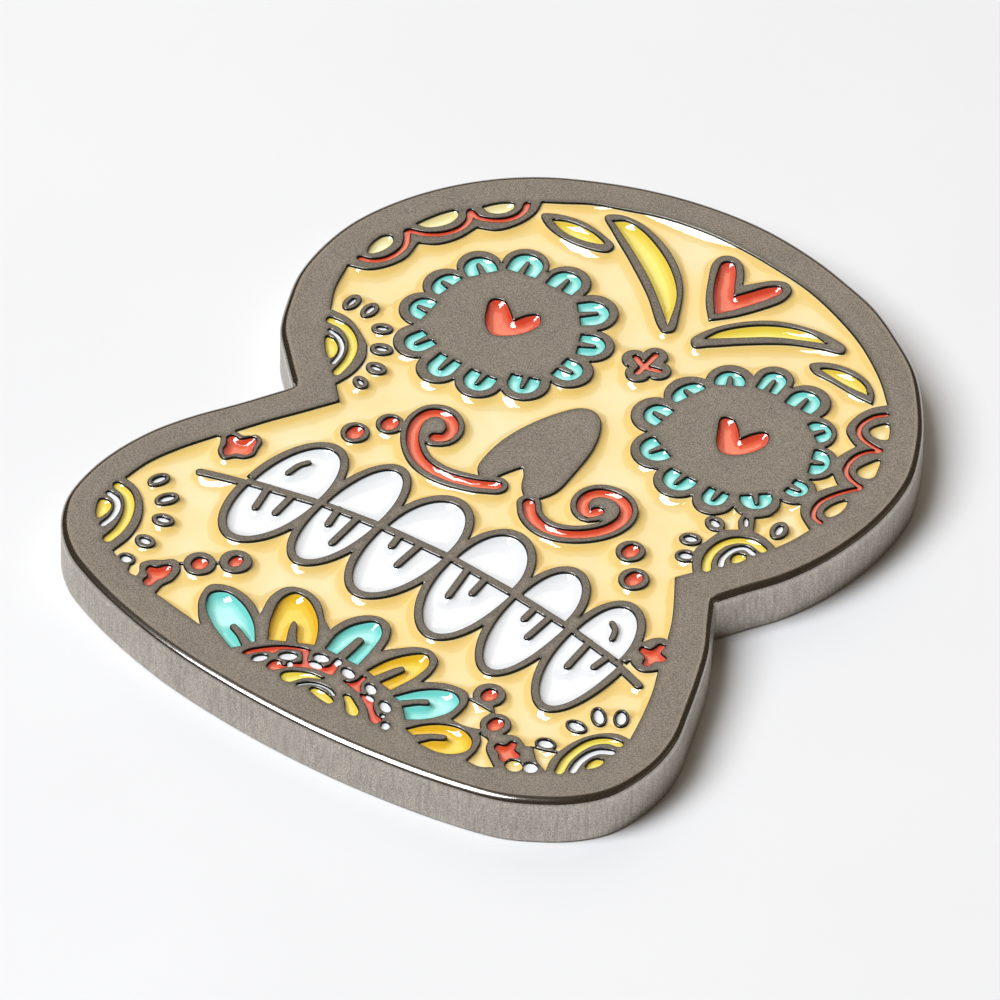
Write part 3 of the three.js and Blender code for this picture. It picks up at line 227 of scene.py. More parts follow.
# Dots: x, y, rim radius, enamel half width and half height.
DOTS = path("""
  -6.75 -1.1 0.64 0.36 0.47, -7.65 -2.48 0.66 0.36 0.46, 6.64 -1.42 0.67 0.35 0.46, 7.8 -2.78 0.7 0.36 0.48,
  -6.92 -12.33 0.74 0.28 0.38, -8.12 -13.38 0.73 0.35 0.41, 7.06 -12.55 0.74 0.33 0.42,
  8.38 -13.9 0.7 0.33 0.44
""")
# Cheek and jaw flowers.
FLOWERS = paths("""
  -11.05 -5.38, -10.78 -5.6, -10.7 -5.95, -10.55 -6.3, -10.72 -6.58, -11.05 -6.7, -11.35 -7.1, -11.68 -6.85,
  -11.78 -6.45, -12.02 -6.1, -11.85 -5.82, -11.5 -5.85, -11.25 -5.6 /
  11.17 -5.47, 11.43 -5.43, 11.5 -5.9, 11.89 -6.03, 11.95 -6.28, 11.65 -6.5, 11.55 -6.94, 11.29 -6.96,
  11.15 -6.55, 10.67 -6.35, 10.63 -6.09, 11.05 -5.98 /
  -9.05 -14.22, -8.85 -14.6, -8.83 -15.05, -9 -15.35, -8.98 -15.72, -9.22 -15.92, -9.48 -15.72,
  -9.48 -15.35, -9.78 -15.12, -9.8 -14.82, -9.5 -14.7, -9.3 -14.4 /
  9.57 -14.34, 9.83 -14.32, 9.95 -14.68, 10.34 -14.8, 10.4 -15.05, 10.1 -15.25, 10.07 -15.56, 9.81 -15.58,
  9.6 -15.3, 9.2 -15.11, 9.16 -14.85, 9.5 -14.7
""")
FLOWER_RIMS = paths("""
  -11 -5.2, -10.6 -5.4, -10.48 -5.85, -10.36 -6.35, -10.58 -6.75, -10.95 -6.95, -11.3 -7.33, -11.8 -7.1,
  -12.05 -6.6, -12.35 -6, -11.95 -5.6, -11.5 -5.6 /
  11.2 -5.05, 10.75 -5.3, 10.45 -5.85, 10.15 -6.3, 10.55 -6.95, 10.95 -7.25, 11.5 -7.36, 11.9 -7.1,
  12.2 -6.6, 12 -5.6 /
  -9.15 -13.82, -8.62 -14.1, -8.43 -14.95, -8.6 -15.5, -8.6 -16.3, -9.3 -16.6, -9.85 -15.9, -9.95 -15.4,
  -10.22 -14.95, -10 -14.5, -9.6 -14.2 /
  9.65 -13.95, 10.3 -14.28, 10.9 -14.7, 10.9 -15.6, 10 -16.1, 9.5 -15.68, 9 -15.3, 8.75 -14.75, 9.1 -14.15
""")
# Thin necks of metal between neighbouring rims.
LINKS = paths("""
  -8.35 -13.5, -9.15 -14.1 /
  -8.1 -13.35, -6.95 -12.35 /
  7.2 -12.65, 8.3 -13.8
""")
# Suns: outer arc, inner arc, their widths, core, and rays as x, y, half length, half width, tilt, rim.
SUN_GOLD = paths("""
  -12.88 2.78, -12.2 2.8, -11.5 2.45, -10.98 1.85, -10.7 1.05, -10.63 0.2 /
  11.25 2.12, 10.65 2.25, 10 1.95, 9.62 1.35, 9.56 0.6, 9.75 0, 9.98 -0.35 /
  -14.02 -11.5, -13.45 -11.65, -12.9 -12.15, -12.48 -12.95, -12.3 -13.8, -12.33 -14.5 /
  13.42 -11.68, 12.95 -11.78, 12.45 -12.25, 12.2 -13, 12.17 -13.9, 12.35 -14.62
""")
SUN_WHITE = paths("""
  -12.5 2.22, -12 2.12, -11.5 1.75, -11.22 1.25, -11.12 0.58 /
  11.08 1.66, 10.6 1.75, 10.25 1.4, 10.15 0.9, 10.2 0.5, 10.36 0.22 /
  -14.05 -12.13, -13.6 -12.22, -13.2 -12.65, -13.02 -13.3, -13.06 -13.9 /
  13.48 -12.3, 13 -12.6, 12.76 -13.1, 12.7 -13.7, 12.8 -14.25
""")
SUN_WIDTHS = [(0.4, 0.2), (0.4, 0.26), (0.44, 0.28), (0.4, 0.32)]
SUN_CORES = paths("""
  -12.4 1.8, -12.1 1.9, -11.65 1.62, -11.38 1.15, -11.42 0.75, -11.8 1, -12.2 1.45 /
  10.68 0.62, 10.45 0.9, 10.52 1.25, 10.88 1.38, 11 1.15, 10.88 0.8 /
  -14.12 -12.65, -13.85 -12.5, -13.52 -12.65, -13.36 -13.15, -13.48 -13.7, -13.8 -13.4 /
  13.5 -12.9, 13.2 -13, 13.05 -13.4, 13.18 -13.8, 13.45 -13.55, 13.58 -13.2
""")
SUN_RAYS = paths("""
  -12.82 4.3 0.3 0.1 90 0.26, -11.87 4.35 0.3 0.12 88 0.24, -10.7 3.7 0.26 0.12 28 0.24,
  -9.93 2.6 0.28 0.13 22 0.26, -9.38 1.45 0.25 0.12 5 0.26, -9.4 0.3 0.2 0.1 -25 0.24 /
  11.12 3.57 0.32 0.15 -75 0.26, 9.65 3.12 0.3 0.1 -55 0, 8.58 2.25 0.28 0.17 -20 0.25,
  8.3 0.8 0.3 0.18 22 0.22, 8.76 -0.2 0.3 0.2 25 0.2 /
  -12.8 -10.12 0.34 0.15 68 0.22, -11.77 -10.9 0.36 0.16 58 0.22, -11.1 -12.08 0.3 0.16 15 0.23,
  -10.92 -13.65 0.27 0.17 0 0.23, -10.9 -15.07 0.26 0.22 0 0.18 /
  12.55 -10.3 0.42 0.22 -58 0.14, 11.7 -10.8 0.48 0.22 -46 0.14, 11.28 -11.88 0.4 0.23 0 0.14,
  10.85 -13.58 0.36 0.25 12 0.14, 11.2 -15.2 0.34 0.32 0 0
""")
# Chin flower.
CHIN_PETALS = paths("""
  -3.2 -15.95*, -4 -15, -5.1 -14.3, -6.1 -14.12, -6.6 -14.6, -6.25 -15.4, -5.3 -16.15, -3.8 -16.88*,
  -3.52 -16.5*, -4.1 -16.1, -4.68 -15.8, -4.6 -15.55, -4.1 -15.7, -3.35 -16.05* /
  -2.8 -15.5*, -3.5 -14.3, -3.88 -13, -3.6 -12.35, -3 -12.35, -2 -13, -1.3 -13.9, -0.98 -14.55*,
  -1.65 -14.88*, -2.05 -14.4, -2.35 -13.95, -2.62 -13.85, -2.55 -14.25, -2.12 -15.12* /
  -0.45 -14.45*, -0.58 -13.4, -0.35 -12.5, 0.35 -11.75, 0.95 -12.2, 1.2 -13.2, 1.3 -14.45*, 0.67 -14.45*,
  0.66 -13.5, 0.6 -13, 0.28 -13, 0.22 -13.5, 0.17 -14.45* /
  1.85 -14.5*, 2.15 -13.5, 2.7 -12.6, 3.3 -12.12, 3.75 -12.5, 3.8 -13.4, 3.4 -14.9*, 2.75 -14.75*, 3 -14.1,
  3.18 -13.5, 2.95 -13.35, 2.75 -13.6, 2.3 -14.6* /
  3.75 -15.1*, 4.4 -14.15, 5.1 -13.55, 5.75 -13.35, 6.25 -13.7, 6.28 -14.5, 5.75 -15.4, 5.05 -15.98*,
  4.45 -15.4*, 4.9 -14.9, 5.3 -14.6, 5.12 -14.38, 4.75 -14.6, 4.1 -15.2* /
  5.4 -16.45*, 5.9 -15.75, 6.6 -15.2, 7.4 -15, 8.1 -15.3, 8.35 -15.9, 8 -16.5, 7.3 -16.83, 6.35 -16.85*,
  6.7 -16.35, 7.2 -15.95, 7.1 -15.75, 6.6 -15.95, 5.85 -16.58*
""")
CHIN_RIMS = paths("""
  -3.3 -15.4, -4.15 -14.35, -5.2 -13.8, -6.2 -13.75, -6.95 -14.2, -6.85 -15.1, -6.35 -15.9, -5.75 -16.5,
  -4.6 -17.2, -2.5 -17.2 /
  -4.1 -14.3, -4.37 -13.2, -4.15 -12.3, -3.4 -11.95, -2.4 -12.2, -1.6 -12.95, -0.8 -13.6, -0.9 -15,
  -3 -16.4, -3.8 -15.6 /
  -1 -13.4, -0.8 -12.4, -0.3 -11.7, 0.35 -11.4, 1 -11.6, 1.4 -12.2, 1.6 -13, 1.8 -15, -0.8 -15 /
  1.6 -13.2, 2.2 -12.45, 2.7 -12, 3.3 -11.8, 3.95 -12.1, 4.2 -12.8, 4.2 -13.6, 4 -15.5, 1.6 -15 /
  4.1 -13.8, 4.7 -13.3, 5.4 -13, 6.2 -13, 6.6 -13.5, 6.65 -14.3, 6.4 -15, 6.2 -16.8, 3.6 -16.2 /
  6.2 -15.1, 6.9 -14.85, 7.7 -14.88, 8.35 -15.2, 8.68 -15.7, 8.65 -16.2, 8.3 -17.2, 5.4 -17.2
""")
# Temples: scalloped bands and moons, three to a side.
SCALLOPS = paths("""
  -10.35 14.2, -10.2 13.7, -10.27 13.2, -10.58 12.7, -11.08 12.35, -11.6 12.17, -12.12 12.3 /
  -12.08 12.2, -11.85 11.85, -11.78 11.3, -11.93 10.8, -12.3 10.27, -12.85 9.87, -13.55 9.62 /
  -13.6 9.5, -13.3 9.1, -13.1 8.6, -13.12 8, -13.35 7.4, -13.75 7.02, -14.25 6.85 /
  10.6 12.5, 10.25 12.1, 10.08 11.55, 10.13 11.05, 10.45 10.67, 11 10.5, 11.7 10.45 /
  11.68 10.35, 11.3 10, 11.08 9.5, 11.07 9, 11.25 8.45, 11.7 8.15, 12.38 8 /
  12.42 7.9, 12.02 7.35, 11.7 6.75, 11.52 6.2, 11.58 5.6, 11.85 5.18, 12.28 5.07
""")
MOONS = paths("""
  -11.85 12.85*, -11.5 12.72, -11.1 12.85, -10.78 13.2, -10.7 13.65, -10.88 13.88, -11.25 13.65,
  -11.6 13.25 /
  -13.57 10.18*, -13.1 10.25, -12.65 10.65, -12.37 11.2, -12.4 11.75, -12.65 11.98, -13 11.55, -13.35 10.8 /
  -14.15 7.33, -13.85 7.6, -13.67 8.15, -13.73 8.65, -14.03 8.87, -14.3 8.6, -14.38 7.9 /
  11 12.05, 11.35 11.65, 11.55 11.2, 11.3 11.02, 10.8 11.03, 10.55 11.25, 10.72 11.75 /
  12.05 9.92, 12.3 9.45, 12.46 8.8, 12.2 8.55, 11.8 8.57, 11.62 8.8, 11.78 9.45 /
  12.42 6.92, 12.6 6.5, 12.58 5.9, 12.35 5.55, 12.03 5.7, 12 6.1, 12.17 6.6
""")
# Ring under the chin flower; bricks are x, y, half length, half width, tilt.
CHIN_REDS = paths("""
  -3.2 -16.87, -3.12 -16.53, -2.85 -16.16, -2.51 -15.8, -2.1 -15.44, -1.64 -15.17, -1.23 -14.99,
  -0.92 -14.95, -0.86 -15.14, -0.61 -15.54, -0.28 -15.45, 0.18 -15.42, 0.35 -15.16, 0.33 -14.84,
  0.61 -14.98, 0.73 -15.3, 0.8 -15.61, 0.57 -15.7, 0.06 -15.75, -0.58 -16.02, -0.99 -16.29, -1.21 -16.57,
  -1.48 -16.9, -1.82 -16.93, -1.87 -16.49, -1.65 -16.27, -1.28 -16.39, -1.03 -16, -0.76 -15.8, -0.96 -15.45,
  -1.19 -15.22, -1.65 -15.41, -2 -15.67, -2.11 -16.05, -2.34 -16.1, -2.71 -16.43, -3.03 -16.82 /
  1.4 -15.63, 1.7 -15.52, 1.87 -15.22, 1.89 -14.87, 2.1 -14.91, 2.11 -15.32, 2.41 -15.82, 2.01 -15.77,
  1.63 -15.7 /
  2.5 -15.87, 2.8 -15.78, 3.15 -15.8, 3.37 -16.14, 3.74 -16.46, 4.18 -16.59, 4.13 -17, 3.87 -16.98,
  3.31 -16.45, 2.81 -16.12
""")
BRICKS = path("""
  -2.41 -16.65 0.37 0.2 53, -1.48 -15.82 0.42 0.23 37, -0.24 -15.05 0.37 0.25 12, 1.28 -15.13 0.38 0.24 -18,
  2.67 -15.34 0.36 0.22 -30, 3.84 -15.88 0.38 0.23 -31, 4.56 -16.84 0.25 0.2 -55,
  -1.14 -16.14 0.17 0.13 -52, 0.51 -14.82 0.23 0.16 -54, -0.2 -15.52 0.31 0.16 6, 2.95 -15.8 0.25 0.11 -10,
  4.1 -16.4 0.13 0.11 -55
""")
CHIN_GOLD = paths("""
  -1.04 -16.98, -1.02 -16.74, -0.59 -16.34, -0.05 -16.09, 0.46 -16.04, 0.64 -16.05, 0.4 -16.21,
  -0.02 -16.46, -0.27 -16.78, -0.45 -17.1, -0.75 -17.17 /
  1.94 -16.37, 2.1 -16.22, 2.6 -16.45, 3.08 -16.8, 3.15 -17.09, 2.89 -17.21, 2.54 -17.02, 2.23 -16.64 /
  0.52 -16.96, 0.62 -16.73, 0.98 -16.67, 1.47 -16.76, 1.8 -16.94, 1.77 -17.17, 1.37 -17.19, 0.83 -17.08
""")
CHIN_WHITE = path("-0.06 -17.02, 0.18 -16.73, 0.51 -16.52, 0.92 -16.43, 1.31 -16.46, 1.59 -16.61")


# ---- plane curves (mm) ----
def spline(points, step=STEP):
    """Centripetal Catmull-Rom curve through the points, about one vertex per step."""
    points = [tuple(p[:2]) for p in points]
    if len(points) == 2:
        (x0, y0), (x1, y1) = points
        n = max(1, round(math.dist(points[0], points[1]) / step))
        return [(x0 + (x1 - x0) * k / n, y0 + (y1 - y0) * k / n) for k in range(n + 1)]
    first = tuple(2 * a - b for a, b in zip(points[0], points[1]))
    last = tuple(2 * a - b for a, b in zip(points[-1], points[-2]))
    return through([first, *points, last], step)


def through(p, step):
    """The same for a list that already has its two guide points at the ends."""
    def mix(u, v, i, j):
        return tuple(((t[j] - s) * x + (s - t[i]) * y) / (t[j] - t[i]) for x, y in zip(u, v))

    out = [p[1]]
    for a, b, c, d in zip(p, p[1:], p[2:], p[3:]):
        t = [0.0]
        for u, v in ((a, b), (b, c), (c, d)):
            t.append(t[-1] + max(math.dist(u, v), 1e-9) ** 0.5)
        n = max(1, round(math.dist(b, c) / step))
        for k in range(1, n + 1):
            s = t[1] + (t[2] - t[1]) * k / n
            ab, bc, cd = mix(a, b, 0, 1), mix(b, c, 1, 2), mix(c, d, 2, 3)
            out.append(mix(mix(ab, bc, 0, 2), mix(bc, cd, 1, 3), 1, 2))
    return out


def outline(points, step=STEP):
    """Closed outline. A point with a third value is a sharp corner; the rest are smooth."""
    corners = [i for i, q in enumerate(points) if len(q) > 2]
    flat = [tuple(q[:2]) for q in points]
    if not corners:
        return through([flat[-1], *flat, flat[0], flat[1]], step)[:-1]
    out = []
    for a, b in zip(corners, corners[1:] + [corners[0] + len(flat)]):
        out += spline([flat[i % len(flat)] for i in range(a, b + 1)], step)[:-1]
    return out


def arc(a, m, b, step=STEP):
    """Circular arc from a through m to b, without its last point."""
    (ax, ay), (mx, my), (bx, by) = a, m, b
    d = 2 * (ax * (my - by) + mx * (by - ay) + bx * (ay - my))
    a2, m2, b2 = ax * ax + ay * ay, mx * mx + my * my, bx * bx + by * by
    ux = (a2 * (my - by) + m2 * (by - ay) + b2 * (ay - my)) / d
    uy = (a2 * (bx - mx) + m2 * (ax - bx) + b2 * (mx - ax)) / d
    r = math.hypot(ax - ux, ay - uy)
    t0, t1, t2 = (math.atan2(q[1] - uy, q[0] - ux) for q in (a, m, b))
    turn = 2 * math.pi
    sweep = (t2 - t0) % turn if (t1 - t0) % turn < (t2 - t0) % turn else -((t0 - t2) % turn)
    n = max(2, round(abs(sweep) * r / step))
    return [(ux + r * math.cos(t0 + sweep * k / n), uy + r * math.sin(t0 + sweep * k / n)) for k in range(n)]


def scallops(points):
    """Closed chain of arcs through cusp, crest, cusp, crest, ..."""
    n = len(points)
    return [q for i in range(0, n, 2) for q in arc(points[i], points[i + 1], points[(i + 2) % n])]


def band(line, width):
    """Round-ended band along a line of points."""
    r = width / 2
    left, right = [], []
    for i, (x, y) in enumerate(line):
        a, b = line[max(i - 1, 0)], line[min(i + 1, len(line) - 1)]
        tx, ty = b[0] - a[0], b[1] - a[1]
        n = math.hypot(tx, ty)
        left.append((x - ty * r / n, y + tx * r / n))
        right.append((x + ty * r / n, y - tx * r / n))

    def cap(p, q):
        cx, cy = (p[0] + q[0]) / 2, (p[1] + q[1]) / 2
        t = math.atan2(p[1] - cy, p[0] - cx)
        m = max(3, round(math.pi * r / STEP))
        turns = [t - math.pi * k / m for k in range(1, m)]
        return [(cx + r * math.cos(u), cy + r * math.sin(u)) for u in turns]

    return left + cap(left[-1], right[-1]) + right[::-1] + cap(right[0], left[0])


def stroke(points, width):
    """Band along a smooth curve through the points."""
    return band(spline(points), width)


def oval(x, y, rx, ry=None, tilt=0):
    """Ellipse with its first axis tilted by some degrees."""
    ry = rx if ry is None else ry
    n = max(12, round(math.pi * (rx + ry) / STEP))
    c, s = math.cos(math.radians(tilt)), math.sin(math.radians(tilt))
    turns = (2 * math.pi * k / n for k in range(n))
    return [(x + rx * math.cos(t) * c - ry * math.sin(t) * s, y + rx * math.cos(t) * s + ry * math.sin(t) * c)
            for t in turns]


def clover(x, y, lobe, waist):
    """Four round lobes about a point."""
    n = 56
    out = []
    for k in range(n):
        t = 2 * math.pi * k / n
        r = waist + (lobe - waist) * abs(math.cos(2 * t)) ** 0.8
        out.append((x + r * math.cos(t), y + r * math.sin(t)))
    return out


def tooth_half(left, right, apex_x, apex_y, y_left, y_right, grow=0.0):
    """Half an ellipse on a sloping line, leaning to its apex."""
    cx, rx = (left + right) / 2, (right - left) / 2 + grow
    height = apex_y - (y_left + y_right) / 2
    height += math.copysign(grow, height)
    n = round((2 * rx + 2 * abs(height)) / STEP)
    out = []
    for k in range(n + 1):
        t = math.pi * k / n
        out.append((cx - rx * math.cos(t) + (apex_x - cx) * math.sin(t) ** 2,
                    y_left + (y_right - y_left) * k / n + height * math.sin(t)))
    return out


def dense(loop, step=STEP):
    """Splits the long sides of a closed outline."""
    out = []
    for a, b in zip(loop, loop[1:] + loop[:1]):
        n = max(1, round(math.dist(a, b) / step))
        out += [(a[0] + (b[0] - a[0]) * k / n, a[1] + (b[1] - a[1]) * k / n) for k in range(n)]
    return out


def petal(ax, ay, crest_x, crest_y, bx, by, width):
    """Arched petal on two feet, with a narrow slot between them."""
    a, b, crest = np.array((ax, ay)), np.array((bx, by)), np.array((crest_x, crest_y))
    middle = (a + b) / 2
    up = (crest - middle) / np.linalg.norm(crest - middle)
    height = np.linalg.norm(crest - middle) + width / 2
    across = np.array([up[1], -up[0]])
    across *= math.copysign(1, across.dot(b - a))
    reach = np.linalg.norm(b - a) / 2 + width / 2
    rise = min(reach, 0.75 * height)
    top, slot = middle + up * (height - rise), middle + up * SLOT_REACH * height
    turns = [math.pi * (1 - k / 12) for k in range(13)]
    loop = [middle - across * (reach - 0.04)]
    loop += [top + across * reach * math.cos(t) + up * rise * math.sin(t) for t in turns]
    loop += [middle + across * (reach - 0.04), middle + across * SLOT_FOOT]
    loop += [slot - across * SLOT_TIP * math.cos(t) + up * SLOT_TIP * math.sin(t) for t in turns[::3]]
    loop += [middle - across * SLOT_FOOT]
    return dense([tuple(q) for q in loop])


# ---- the drawing: enamel cells as (piece, colour, outline), and the metal that stands in the field ----
cells = []
pieces = {}  # piece name: the CAD node it replaces, or None


def cell(piece, colour, loop, node=None):
    """Adds an outline to a piece of enamel. Where two outlines cross, the earlier one wins."""
    pieces.setdefault(piece, node)
    cells.append((piece, colour, loop))


SIDES = ("left", "right")
for i, c in enumerate(SIDE_CELLS, 1):
    cell(f"fill_side_{i}", "cream", outline(c), f"enamel_side_{i}" if i < 4 else None)
cell("fill_heart_forehead", "red", outline(HEART), "enamel_heart_forehead")
for side, c in zip(SIDES, EYE_HEARTS):
    cell(f"fill_heart_eye_{side}", "red", outline(c), f"enamel_heart_eye_{side}")
for i, c in enumerate(LEAVES, 1):
    cell(f"fill_leaf_{i}", "yellow", outline(c), f"enamel_leaf_{i}")
for i, p in enumerate(EYE_PETALS):
    cell(f"fill_eye_petal_{SIDES[i // 12]}_{i % 12 + 1}", "teal", petal(*p))
for side, line in zip(SIDES, SCROLLS):
    cell(f"fill_scroll_{side}", "red", stroke(line, SCROLL_WIDTH), f"enamel_scroll_{side}")
for line in CROSS:
    cell("fill_cross", "red", stroke(line, CROSS_WIDTH), "enamel_cross")
for i, (x, y, _, rx, ry) in enumerate(DOTS, 1):
    cell(f"fill_dot_{i}", "red", oval(x, y, rx, ry), f"enamel_dot_{i}")
cell("fill_side_6", "cream", oval(*PALE_DOT))
for i, c in enumerate(FLOWERS, 1):
    cell(f"fill_flower_{i}", "red", outline(c), f"enamel_flower_{i}")
for i, (gold, white, (gold_width, white_width), core, rays) in enumerate(
        zip(SUN_GOLD, SUN_WHITE, SUN_WIDTHS, SUN_CORES, SUN_RAYS), 1):
    cell(f"fill_sun_{i}", "yellow", stroke(gold, gold_width), f"enamel_sun_{i}")
    cell(f"fill_sun_{i}_inner", "white", stroke(white, white_width))
    cell(f"fill_sun_{i}_core", "yellow", outline(core))
    for x, y, length, width, tilt, _ in rays:
        cell(f"fill_sun_{i}_rays", "white", oval(x, y, length, width, tilt))
for i, c in enumerate(CHIN_PETALS, 1):
    cell(f"fill_chin_{i}", "teal" if i % 2 else "orange", outline(c), f"enamel_chin_{i}")
for i, line in enumerate(SCALLOPS):
    side = SIDES[i // 3]
    cell(f"fill_temple_{side}", "red", stroke(line, SCALLOP_WIDTHS[i // 3]), f"enamel_temple_{side}")
for i, c in enumerate(MOONS):
    cell(f"fill_moons_{SIDES[i // 3]}", "cream" if i > 2 else "pale", outline(c))
for brick in BRICKS:
    cell("fill_chin_bricks", "white", oval(*brick))
for c in CHIN_REDS:
    cell("fill_chin_bars", "red", outline(c))
for c in CHIN_GOLD:
    cell("fill_chin_gold", "yellow", outline(c))
cell("fill_chin_arc", "white", stroke(CHIN_WHITE, CHIN_ARC_WIDTH))
first_tooth = len(cells)
for i, half in enumerate(TEETH):
    row = "lower" if i % 2 else "upper"
    cell(f"fill_tooth_{row}_{i // 2 + 1}", "white", tooth_half(*half), f"enamel_tooth_{row}_{i // 2 + 1}")

tooth_lines = [stroke(line, ROOT_WIDTH) for line in ROOTS] + [stroke(line, GLINT_WIDTH) for line in GLINTS]
islands = [outline(NOSE), outline(HEART_RIM), clover(*CLOVER)]
islands += [outline(rim) for rim in LEAF_RIMS]
islands += [scallops(ring) for ring in EYE_RINGS]
islands += [tooth_half(*half, grow=TOOTH_LINE) for half in TEETH]
islands += [stroke(line, BITE_WIDTH) for line in BITE_ENDS]
islands.append(stroke([(crown[x], (crown[y] + under[y]) / 2) for crown, under in zip(TEETH[::2], TEETH[1::2])
                       for x, y in ((0, 4), (1, 5))], BITE_LINE))
for line, curl in zip(SCROLLS, CURLS):
    middle = len(line) // 2
    islands += [stroke(part, SCROLL_WIDTH + 2 * SCROLL_LINE) for part in (line[:middle + 2], line[middle:])]
    islands.append(oval(*curl))
islands += [oval(x, y, r) for x, y, r, _, _ in DOTS]
islands += [outline(rim) for rim in FLOWER_RIMS] + [stroke(line, LINK_WIDTH) for line in LINKS]
islands += [oval(x, y, length + rim, width + rim, tilt)
            for rays in SUN_RAYS for x, y, length, width, tilt, rim in rays if rim]
islands += [outline(rim) for rim in CHIN_RIMS]
plate_edge = outline(PLATE, PLATE_STEP)


# ---- from the drawing to regions ----
METAL, FIELD_CELL, OUTSIDE = -1, 0, -2  # a cell's own region is its place in the list, plus one
FIRST_MERGE, SECOND_MERGE = 1e-4, 2e-4  # points nearer than this become one
ON_WALL = 1e-3


def ccw(loop):
    """The loop, turned to run counter-clockwise."""
    twice_area = sum(a[0] * b[1] - b[0] * a[1] for a, b in zip(loop, loop[1:] + loop[:1]))
    return loop if twice_area > 0 else loop[::-1]


def arrange():
    """Cuts the plane along every outline: plate, field, islands, tooth lines, then cells.

    Returns the points, triangles and each triangle's region.
    """
    loops = [outline(FIELD), *islands, *tooth_lines, *(loop for _, _, loop in cells)]
    loops = [ccw(plate_edge)] + [ccw(dense(loop, CUT_STEP)) for loop in loops]
    verts, faces = [], []
    for loop in loops:
        faces.append(list(range(len(verts), len(verts) + len(loop))))
        verts += [Vector(q) for q in loop]
    out = delaunay_2d_cdt(verts, [], faces, 0, FIRST_MERGE)
    points, tris, source = np.array([tuple(v) for v in out[0]]), out[2], out[5]
    first_line = 2 + len(islands)
    first_cell = first_line + len(tooth_lines)
    region = []
    for inside in map(set, source):
        own = [i - first_cell for i in inside if i >= first_cell + len(SIDE_CELLS)]
        side = [i - first_cell for i in inside if first_cell <= i < first_cell + len(SIDE_CELLS)]
        in_line = any(first_line <= i < first_cell for i in inside)
        on_island = any(2 <= i < first_line for i in inside)
        if 0 not in inside:
            region.append(OUTSIDE)
        elif own and not (in_line and min(own) >= first_tooth):
            region.append(1 + min(own))
        elif on_island or not (side or 1 in inside):
            region.append(METAL)
        else:
            region.append(1 + side[0] if side else FIELD_CELL)
    return points, np.array(tris), np.array(region)


def borders(tris, region):
    """Edges between two regions, as (a, b, region on the left, region on the right)."""
    owner = {}
    for t, r in zip(tris.tolist(), region.tolist()):
        for a, b in zip(t, t[1:] + t[:1]):
            owner[a, b] = r
    out = []
    for (a, b), left in owner.items():
        right = owner.get((b, a), OUTSIDE)
        if left > right and left != OUTSIDE:
            out.append((a, b, left, right))
    return out


def distance_to(points, a, b, chunk=400):
    """Distance from each point to the nearest of the segments a-b."""
    ab = b - a
    length2 = np.maximum((ab ** 2).sum(1), 1e-12)
    out = np.empty(len(points))
    for k in range(0, len(points), chunk):
        ap = points[k:k + chunk, None] - a[None]
        t = np.clip((ap * ab).sum(2) / length2, 0, 1)
        out[k:k + chunk] = np.sqrt(((ap - t[..., None] * ab) ** 2).sum(2)).min(1)
    return out


def grid_distance(points, a, b, cell=1.0, reach=0.75, half_segment=0.3):
    """The same, but only up to the reach, with the points sorted into squares."""
    out = np.full(len(points), reach)
    middle = (a + b) / 2
    squares = {}
    for i, k in enumerate(map(tuple, np.floor(points / cell).astype(int))):
        squares.setdefault(k, []).append(i)
    for square, members in squares.items():
        low = np.array(square) * cell - reach - half_segment
        near = np.all((middle > low) & (middle < low + cell + 2 * (reach + half_segment)), axis=1)
        if near.any():
            out[members] = np.minimum(reach, distance_to(points[members], a[near], b[near]))
    return out


def distance_to_walls(places, walls):
    return grid_distance(places, points[[w[0] for w in walls]], points[[w[1] for w in walls]])


points, tris, region = arrange()
walls = borders(tris, region)

# Distances from a wall at which the relief gets extra points.
METAL_RINGS = [0.016, RIDGE_ROUND, RIDGE_ROUND + 0.06, RIDGE_ROUND + 0.25]
ENAMEL_RINGS = [0.045, 0.1, 0.16, 0.23, 0.31, 0.4, 0.52, 0.68, 0.9]
RIM_RINGS = [RIM_ROUND * (1 - math.sin(math.radians(t))) for t in (78, 66, 54, 42, 30, 15, 0)]
RIM_RINGS.append(RIM_ROUND + 0.1)
THINNED_FROM = 6  # the enamel's outer rings, from this one on, get fewer points
SHARPEST_FOLD = 0.3  # a corner whose two normals add up to less gets no extra points
CLEARANCE = 0.86  # share of its distance that a point must keep from every other wall


def ring_points():
    """Extra points beside every wall, so that rounded edges and hollows have something to bend on."""
    normal = {}
    for a, b, left, right in walls:
        d = points[b] - points[a]
        n = np.array([-d[1], d[0]]) / max(np.linalg.norm(d), 1e-9)  # towards the region on the left
        for v in (a, b):
            normal.setdefault(v, []).append((n, left, right))
    candidates, limit = [], []
    for count, (v, sides) in enumerate(normal.items()):
        n = sum(s[0] for s in sides)
        size = np.linalg.norm(n)
        if size < SHARPEST_FOLD:
            continue
        n = n / size
        for sign, which in ((1, 1), (-1, 2)):
            kind = sides[0][which]
            if kind == OUTSIDE:
                continue
            at_rim = sides[0][2] == OUTSIDE
            rings = RIM_RINGS if at_rim else METAL_RINGS if kind == METAL else ENAMEL_RINGS
            for k, offset in enumerate(rings):
                if kind >= 0 and k >= THINNED_FROM and count % (k - THINNED_FROM + 2):
                    continue
                candidates.append(points[v] + sign * n * offset)
                limit.append(offset)
    candidates = np.array(candidates)
    return candidates[distance_to_walls(candidates, walls) > CLEARANCE * np.array(limit)]


# The second cut: the walls and their rings of points.
used = sorted({v for w in walls for v in w[:2]})
place_of = {v: i for i, v in enumerate(used)}
out = delaunay_2d_cdt([Vector(points[v]) for v in used] + [Vector(q) for q in ring_points()],
                      [(place_of[a], place_of[b]) for a, b, _, _ in walls], [], 0, SECOND_MERGE)
XY = np.array([tuple(v) for v in out[0]])
TRIS = np.array(out[2])

